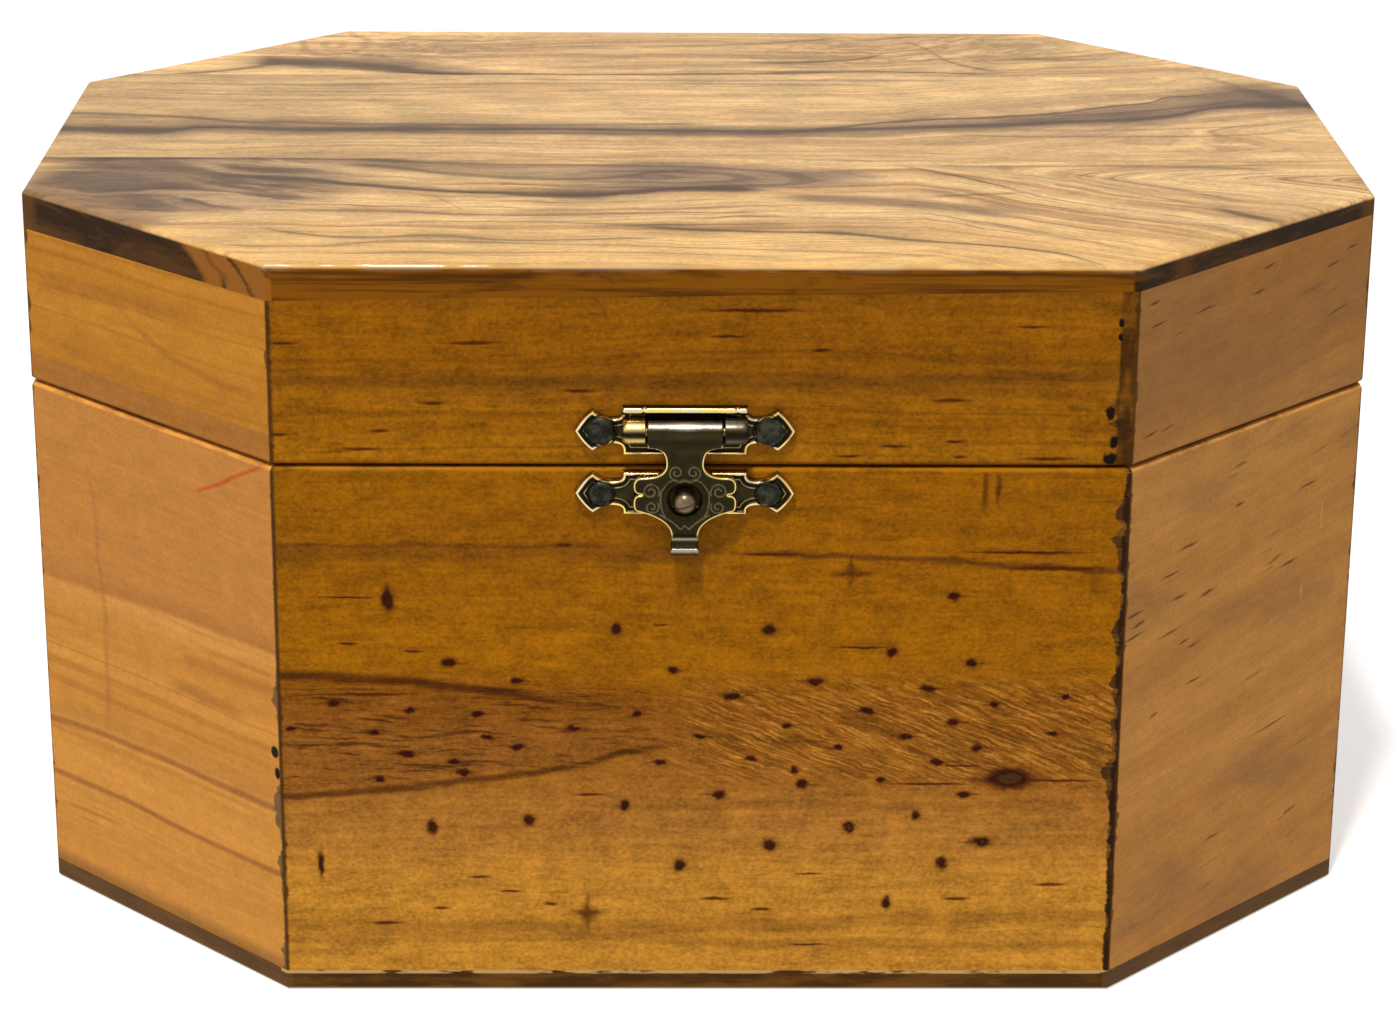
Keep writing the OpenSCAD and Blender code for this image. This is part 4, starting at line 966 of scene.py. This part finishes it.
def hasp_leaf():
    """The swinging hasp from one sheet: rows down the leaf path, each from the middle, or the edge of the
    hole, out to the side, and the same mirrored. The face is raised by a rim along the edges, a ring round
    the hole and pairs of scrolls."""
    side = leaf_side()
    roll_len = math.radians(ROLL_TURN) * (BARREL_R - SHEET_T / 2)
    tip = -TONGUE_END - math.radians(CURL_TURN) * CURL_R
    hole = -HOLE_DROP + HOLE_R * np.cos(np.linspace(0, np.pi, 65))
    rows = np.unique(np.round(np.concatenate([
        np.linspace(0, roll_len, 46), np.linspace(-BARREL_R, 0, 14), side[:, 1], hole,
        np.linspace(-TONGUE_END, -BARREL_R, 150), np.linspace(tip, -TONGUE_END, 24)]), 4))[::-1]
    half = np.interp(-rows, -side[:, 1], side[:, 0])
    inner = np.sqrt(np.maximum(HOLE_R ** 2 - (rows + HOLE_DROP) ** 2, 0))
    inner[inner < 0.03] = 0.0
    v = np.linspace(0, 1, 64)
    v = 0.6 * v + 0.4 * np.sin(v * np.pi / 2)
    x = inner[:, None] + (half - inner)[:, None] * v
    q = np.repeat(rows[:, None], len(v), 1)
    edge = np.concatenate([[(BARREL_LEN / 2, roll_len)], side, [(TONGUE_HALF, tip), (0, tip)]])
    d = distance(x, q, edge)
    rim = np.abs(np.hypot(x, q + HOLE_DROP) - HOLE_R)
    to_any_edge = np.minimum(d, rim)
    scrolls = [spiral(1.05, -5.15, 0.95, 1.4, -1.6, 1), spiral(4.2, -7.6, 1.1, 1.5, 3.6, -1),
               spiral(4.05, -9.6, 0.9, 1.4, 2.6, 1),
               np.array([(2.2, -6.6), (2.9, -7.6), (3.0, -8.8), (2.8, -10), (2.4, -11)]),
               np.array([(0.0, -12.0), (0.5, -12.5), (1.1, -11.9), (2.0, -11.2), (3.0, -10.6)]),
               np.array([(0.0, -6.15), (0.7, -6.3), (1.4, -6.1), (2.0, -6.4)])]
    stroke = np.min([distance(x, q, s) for s in scrolls], 0)
    flat = step_up(-q, 2.2, 3.2)
    lift = 0.15 * bump_at(stroke, 0, 0.34) * flat * step_up(d, 0.3, 0.6)
    lift += 0.12 * bump_at(rim, 0.45, 0.22) * flat
    lift += 0.06 * (step_up(d, 0, 0.1) - step_up(d, 0.32, 0.5)) * flat
    lift -= 0.26 * (1 - np.sqrt(1 - (1 - np.clip(to_any_edge / 0.24, 0, 1)) ** 2))
    rubbed_and_highlit = 0.95 * bump_at(d, 0.08, 0.30) * step_up(-q, 0.6, 1.9) + 0.3 * bump_at(rim, 0.35, 0.25)
    rubbed_and_highlit += 0.35 * bump_at(stroke, 0, 0.32) * flat
    past = -TONGUE_END - q
    curl = step_up(past, 0.0, 0.5)
    # Painted highlight: a bright band on the front of the roll, brightest in the middle, where the lamp's
    # highlight falls
    rubbed_and_highlit = np.maximum(rubbed_and_highlit, (0.5 + 0.2 * bump_at(x, 0, 2.5)) * bump_at(q, 0.9, 1.0))
    # Painted reflection on the tongue's curl: bright bands near its top and its lip, with the dark bands
    # between set in the grime below
    rubbed_and_highlit = np.where(past > 0, 0.5 * bump_at(past, 0.4, 0.6) + 0.55 * bump_at(past, 2.2, 0.5), rubbed_and_highlit)
    silver = np.maximum(step_up(q, -1.2, -0.4), curl) * 0.9 + 0.5 * bump_at(stroke, 0, 0.3)
    grime_and_shade = (0.55 - 0.5 * bump_at(stroke, 0, 0.3)) * flat * step_up(d, 0.3, 0.6) * (q > -TONGUE_END)
    # Painted shade under the roll, and painted reflection: dark bands at the top and in the middle of the
    # tongue's curl
    grime_and_shade += 0.6 * bump_at(q, -0.8, 1.1) + 0.8 * bump_at(past, -0.1, 0.4) + bump_at(past, 1.3, 0.8)
    # the face and the back lie either side of the path, along its own normal
    nudge = 1e-4
    y0, z0 = leaf_path(q)
    (ya, za), (yb, zb) = leaf_path(q + nudge), leaf_path(q - nudge)
    length = np.hypot(yb - ya, zb - za)
    ny, nz = (zb - za) / length, -(yb - ya) / length
    sheets = [np.stack([x, y0 + ny * h, z0 + nz * h], -1) for h in (SHEET_T / 2 + lift, -SHEET_T / 2)]
    count = x.size
    corners = np.arange(count).reshape(x.shape)

    def wall(line):
        return np.stack([line[:-1], line[1:], line[1:] + count, line[:-1] + count], -1)

    def both_sheets(face, back):
        return np.tile(np.append(face, np.full(count, back)), 2)

    upper = grid_quads(*x.shape)
    holed = (inner[:-1] > 0) | (inner[1:] > 0)
    quads = np.concatenate([upper, upper[:, ::-1] + count, wall(corners[:, -1]), wall(corners[:, 0])[holed],
                            wall(corners[0]), wall(corners[-1])])
    right = np.concatenate([s.reshape(-1, 3) for s in sheets])
    points = np.concatenate([right, right * (-1, 1, 1)])
    quads = np.concatenate([quads, quads[:, ::-1] + len(right)])
    wear = worn_and_lit(len(points), both_sheets(rubbed_and_highlit, 0.1), both_sheets(grime_and_shade, 0.3), both_sheets(silver, 0.0))
    return points + (LATCH_X, -HALF_D - BARREL_OUT, HASP_Z + PIN_RISE), quads, wear


def turned(profile, sides=0, sharp=0.0, turns=72):
    """Profile of (radius, out) turned about the out axis, drawn in towards the flats of a polygon."""
    a = np.linspace(0, 2 * np.pi, turns, endpoint=False)
    r, out = np.array(profile, float).T
    flats = 1.0
    if sides:
        half = np.pi / sides
        flats = (np.cos(half) / np.cos((a + 0.3) % (2 * half) - half)) ** sharp
    r = r[:, None] * flats
    points = np.stack(np.broadcast_arrays(r * np.cos(a), r * np.sin(a), out[:, None]), -1)
    return points, grid_quads(len(profile), turns, wrap=True)


def knob():
    """Knob of the keeper: stem, spread collar, waist, ball and a small flat on its tip."""
    t = np.linspace(math.radians(-62), math.radians(88), 26)
    ball = np.stack([BALL_R * np.cos(t), BALL_OUT + BALL_R * np.sin(t)], -1)
    profile = np.concatenate([[(0, -6), (0.7, -6), (0.7, SHEET_T), (1.32, SHEET_T), (1.35, 0.95), (1.2, 1.12),
                               (0.86, 1.28)], ball, [(0, ball[-1, 1])]])
    points, quads = turned(profile)
    across, up = points[..., 0], points[..., 1]
    on_ball = np.repeat((profile[:, 1] > 1.5)[:, None], points.shape[1], 1)
    # Painted reflection: a dark band across the ball; painted shade: a dark crescent on its lower side
    grime_and_shade = 0.75 * bump_at(up - 0.3 * across, -0.25, 0.55) + 0.5 * step_up(-up, 1.0, 1.45)
    wear = worn_and_lit(across.size, 0.52 * on_ball, np.where(on_ball, grime_and_shade, 0.6), 0.0)
    return on_front(points, LATCH_X, KNOB_Z), quads, wear


def nail_profile(head_r, seat):
    """Nail from its point out to a shallow domed head that sits on the metal."""
    t = np.linspace(0, math.pi / 2, 12)
    dome = np.stack([head_r * np.cos(t) ** 0.8, seat + 0.22 + 0.46 * np.sin(t)], -1)
    return np.concatenate([[(0, -6), (0.3, -5.8), (0.5, -5), (0.5, seat), (head_r * 0.96, seat)], dome])


def plate_nails(z, head_r):
    """Pair of nails with hammered heads that are nearly six-sided."""
    parts = []
    for way in (-1, 1):
        points, quads = turned(nail_profile(head_r, SHEET_T), 6, 0.6)
        x, y = points[..., 0], points[..., 1]
        dents = 0.06 * np.sin(x * 2.3 + way) * np.cos(y * 2.9 - way) * (points[..., 2] > SHEET_T + 0.3)
        points[..., 2] = np.minimum(points[..., 2] + dents - 0.03, SHEET_T + 0.7)
        parts.append((on_front(points, LATCH_X + way * NAIL_X, z), quads, worn_and_lit(x.size)))
    return gather(*parts)


def keeper_plate():
    """Plate under the knob."""
    points, quads, wear = plate(KEEPER_PLATE_H, KEEPER_NAIL_R, False)
    return on_front(points, LATCH_X, KEEPER_Z), quads, wear


def hasp_plate():
    """Plate with a knuckle either side of the hasp's own, the left one golden, the right one greyer."""
    points, quads, wear = plate(HASP_PLATE_H, HASP_NAIL_R, True)
    parts = [(on_front(points, LATCH_X, HASP_Z), quads, wear)]
    inner, outer = BARREL_LEN / 2 + 0.2, PLATE_W / 2
    # shine is the strength of each outer knuckle's painted reflections
    for way, shine, silver in ((-1, 1.0, 0.0), (1, 0.5, 0.8)):
        points, quads, wear = knuckle(inner, outer, BARREL_OUT - 0.5, 0.12, 0.7, shine, silver)
        points = points * (way, 1, 1) + (0, 0, BARREL_OUT)
        parts.append((on_front(points, LATCH_X, HASP_Z + PIN_RISE), quads, wear))
    return gather(*parts)


HONEY = (rgb(214, 149, 66), rgb(199, 133, 54), rgb(162, 100, 38))
GOLDEN = (rgb(200, 136, 44), rgb(186, 122, 36), rgb(156, 96, 24))
AMBER = (rgb(152, 96, 6), rgb(136, 82, 3), rgb(100, 56, 2))
DULL = (rgb(195, 137, 68), rgb(180, 122, 58), rgb(146, 95, 43))
EVEN_DULL = (DULL[0], DULL[1], DULL[1])
EVEN_DUSKY = (rgb(178, 123, 60), rgb(161, 108, 51), rgb(161, 108, 51))
right_body, right_lid = right_corner(55, RIGHT_BODY_DASHES), right_corner(57, RIGHT_LID_DASHES)
BOARDS = {
    "body_front": pine("front_pine", 0, AMBER, 1, dash=0.35, drawn=front_body, grit=0.95),
    "lid_front": pine("front_lid_pine", 0, AMBER, 2, dash=0.5, drawn=front_lid, grit=1.0),
    "body_corner_front_left": pine("left_corner_pine", 45, HONEY, 3, 0.0, CORNER_HALF, 0.1, left_body, 0.35),
    "lid_corner_front_left": pine(
        "left_corner_lid_pine", 45, GOLDEN, 4, 0.02, CORNER_HALF, 0.1, left_lid, 0.4),
    "body_corner_front_right": pine(
        "right_corner_pine", -45, EVEN_DULL, 5, 0.12, CORNER_HALF, 0.3, right_body, 0.4),
    "lid_corner_front_right": pine(
        "right_corner_lid_pine", -45, EVEN_DUSKY, 6, 0.10, CORNER_HALF, 0.3, right_lid, 0.4),
}
# Boards of the ends and the back: turn, tones, half length, dashes, slope of the grain on body and on lid
PLAIN_BOARDS = {
    "left_end": (90, HONEY, END_HALF, 0.6, 0.03, -0.02),
    "right_end": (-90, DULL, END_HALF, 0.7, 0.05, 0.02),
    "back": (180, AMBER, FRONT_HALF, 0.8, -0.02, 0.01),
    "corner_back_left": (135, HONEY, CORNER_HALF, 0.6, -0.03, 0.02),
    "corner_back_right": (-135, DULL, CORNER_HALF, 0.7, 0.04, -0.04),
}
seed = len(BOARDS)
for place, (angle, tones, half, dash, *slopes) in PLAIN_BOARDS.items():
    for part, ending, slope in zip(("body_", "lid_"), ("_pine", "_lid_pine"), slopes):
        seed += 1
        name = place.removeprefix("corner_") + ending
        BOARDS[part + place] = pine(name, angle, tones, seed, slope, half, dash)
BOARDS["top_front"] = olive("front_olive", 21, 1.0, front_strip)
BOARDS["top_middle"] = olive("middle_olive", 22, 0.6, middle_strip)
BOARDS["top_back"] = olive("back_olive", 23, 0.7, back_strip)
BOARDS["base_board"] = base_finish()
LATCH = brass("latch_brass_finish", rgb(230, 200, 124), rgb(46, 41, 23), rgb(22, 19, 12), 91)
HINGE = brass("hinge_brass_finish", rgb(206, 176, 110), rgb(150, 122, 66), rgb(60, 48, 28), 94)
STEEL = brass("keeper_knob_finish", rgb(142, 122, 96), rgb(66, 56, 42), rgb(30, 23, 18), 97)
IRON = iron_finish()
for node_name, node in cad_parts.items():
    finish = BOARDS.get(node_name)
    if node_name.startswith("hinge") or node_name == "hasp_pin":
        finish = IRON if "nails" in node_name else HINGE
    if finish:
        node.data.materials.clear()
        node.data.materials.append(finish)

piece("keeper_plate_stamped", keeper_plate(), LATCH, "box", "latch_brass", "keeper_plate")
piece("keeper_knob_turned", knob(), STEEL, "box", "latch_brass", "keeper_knob")
piece("keeper_nails_hammered", plate_nails(KEEPER_Z, KEEPER_NAIL_R), IRON, "box", "nail_iron", "keeper_nails")
piece("hasp_plate_stamped", hasp_plate(), LATCH, "lid", "latch_brass", "hasp_plate")
piece("hasp_nails_hammered", plate_nails(HASP_Z, HASP_NAIL_R), IRON, "lid", "nail_iron", "hasp_nails")
piece("hasp_leaf_stamped", hasp_leaf(), LATCH, "hasp", "latch_brass", "hasp_leaf")

# Light of the studio on the object, and the glow that shows the camera a white floor
SKY_FILL, FLOOR_GLOW = 0.38, 0.5
scene = bpy.context.scene
scene.view_settings.view_transform = "Standard"


def turn(axis, degrees):
    """Rotation by an angle about one axis."""
    return np.array(Matrix.Rotation(math.radians(degrees), 3, axis))


# The camera's own axes as rows: to the right, down and into the picture
view = turn("Z", 0.12) @ turn("Y", -0.77) @ turn("X", 19.56) @ np.array([[1, 0, 0], [0, 0, -1], [0, 1, 0]])
camera_data = bpy.data.cameras.new("camera")
camera_data.sensor_width, camera_data.lens = 36.0, 97.49
camera_data.clip_start, camera_data.clip_end = 0.01, 20.0
camera = bpy.data.objects.new("camera", camera_data)
camera.matrix_world = Matrix.Translation(Vector((-6.67, -504.9, 222.6)) * MM) @ Matrix(
    np.stack([view[0], -view[1], -view[2]], 1)).to_4x4()
scene.collection.objects.link(camera)
scene.camera = camera


def lamp(name, place, aim, size, power, colour):
    """Soft round lamp that looks at a point."""
    data = bpy.data.lights.new(name, "AREA")
    data.shape, data.size, data.energy, data.color = "DISK", size, power, colour
    obj = bpy.data.objects.new(name, data)
    obj.location = place
    obj.rotation_mode = "QUATERNION"
    obj.rotation_quaternion = (Vector(aim) - Vector(place)).to_track_quat("-Z", "Y")
    scene.collection.objects.link(obj)


lamp("key", (-0.12, -0.56, 1.16), (0, 0, 0.05), 0.10, 10.5, (1.0, 0.96, 0.90))
lamp("fill", (-1.0, -0.7, 0.5), (0, 0, 0.05), 0.9, 1.8, (1.0, 0.97, 0.93))

world = bpy.data.worlds.new("studio")
scene.world = world
world.use_nodes = True
sky = Nodes(world.node_tree)
background = world.node_tree.nodes["Background"]
background.inputs["Color"].default_value = (1, 1, 1, 1)
sky.link(sky.seen() * (1 - SKY_FILL) + SKY_FILL, background, "Strength")

floor_mesh = bpy.data.meshes.new("floor")
floor_mesh.from_pydata([(-6, -6, 0), (6, -6, 0), (6, 6, 0), (-6, 6, 0)], [], [(0, 1, 2, 3)])
floor = bpy.data.objects.new("floor", floor_mesh)
scene.collection.objects.link(floor)
ground = Finish("white_floor", Base_Color=(0.85, 0.85, 0.85, 1), Roughness=0.9, Specular_IOR_Level=0.0,
                Emission_Strength=1.0)
ground.link(ground.seen() * FLOOR_GLOW, ground.shader, "Emission Color")
floor_mesh.materials.append(ground.material)
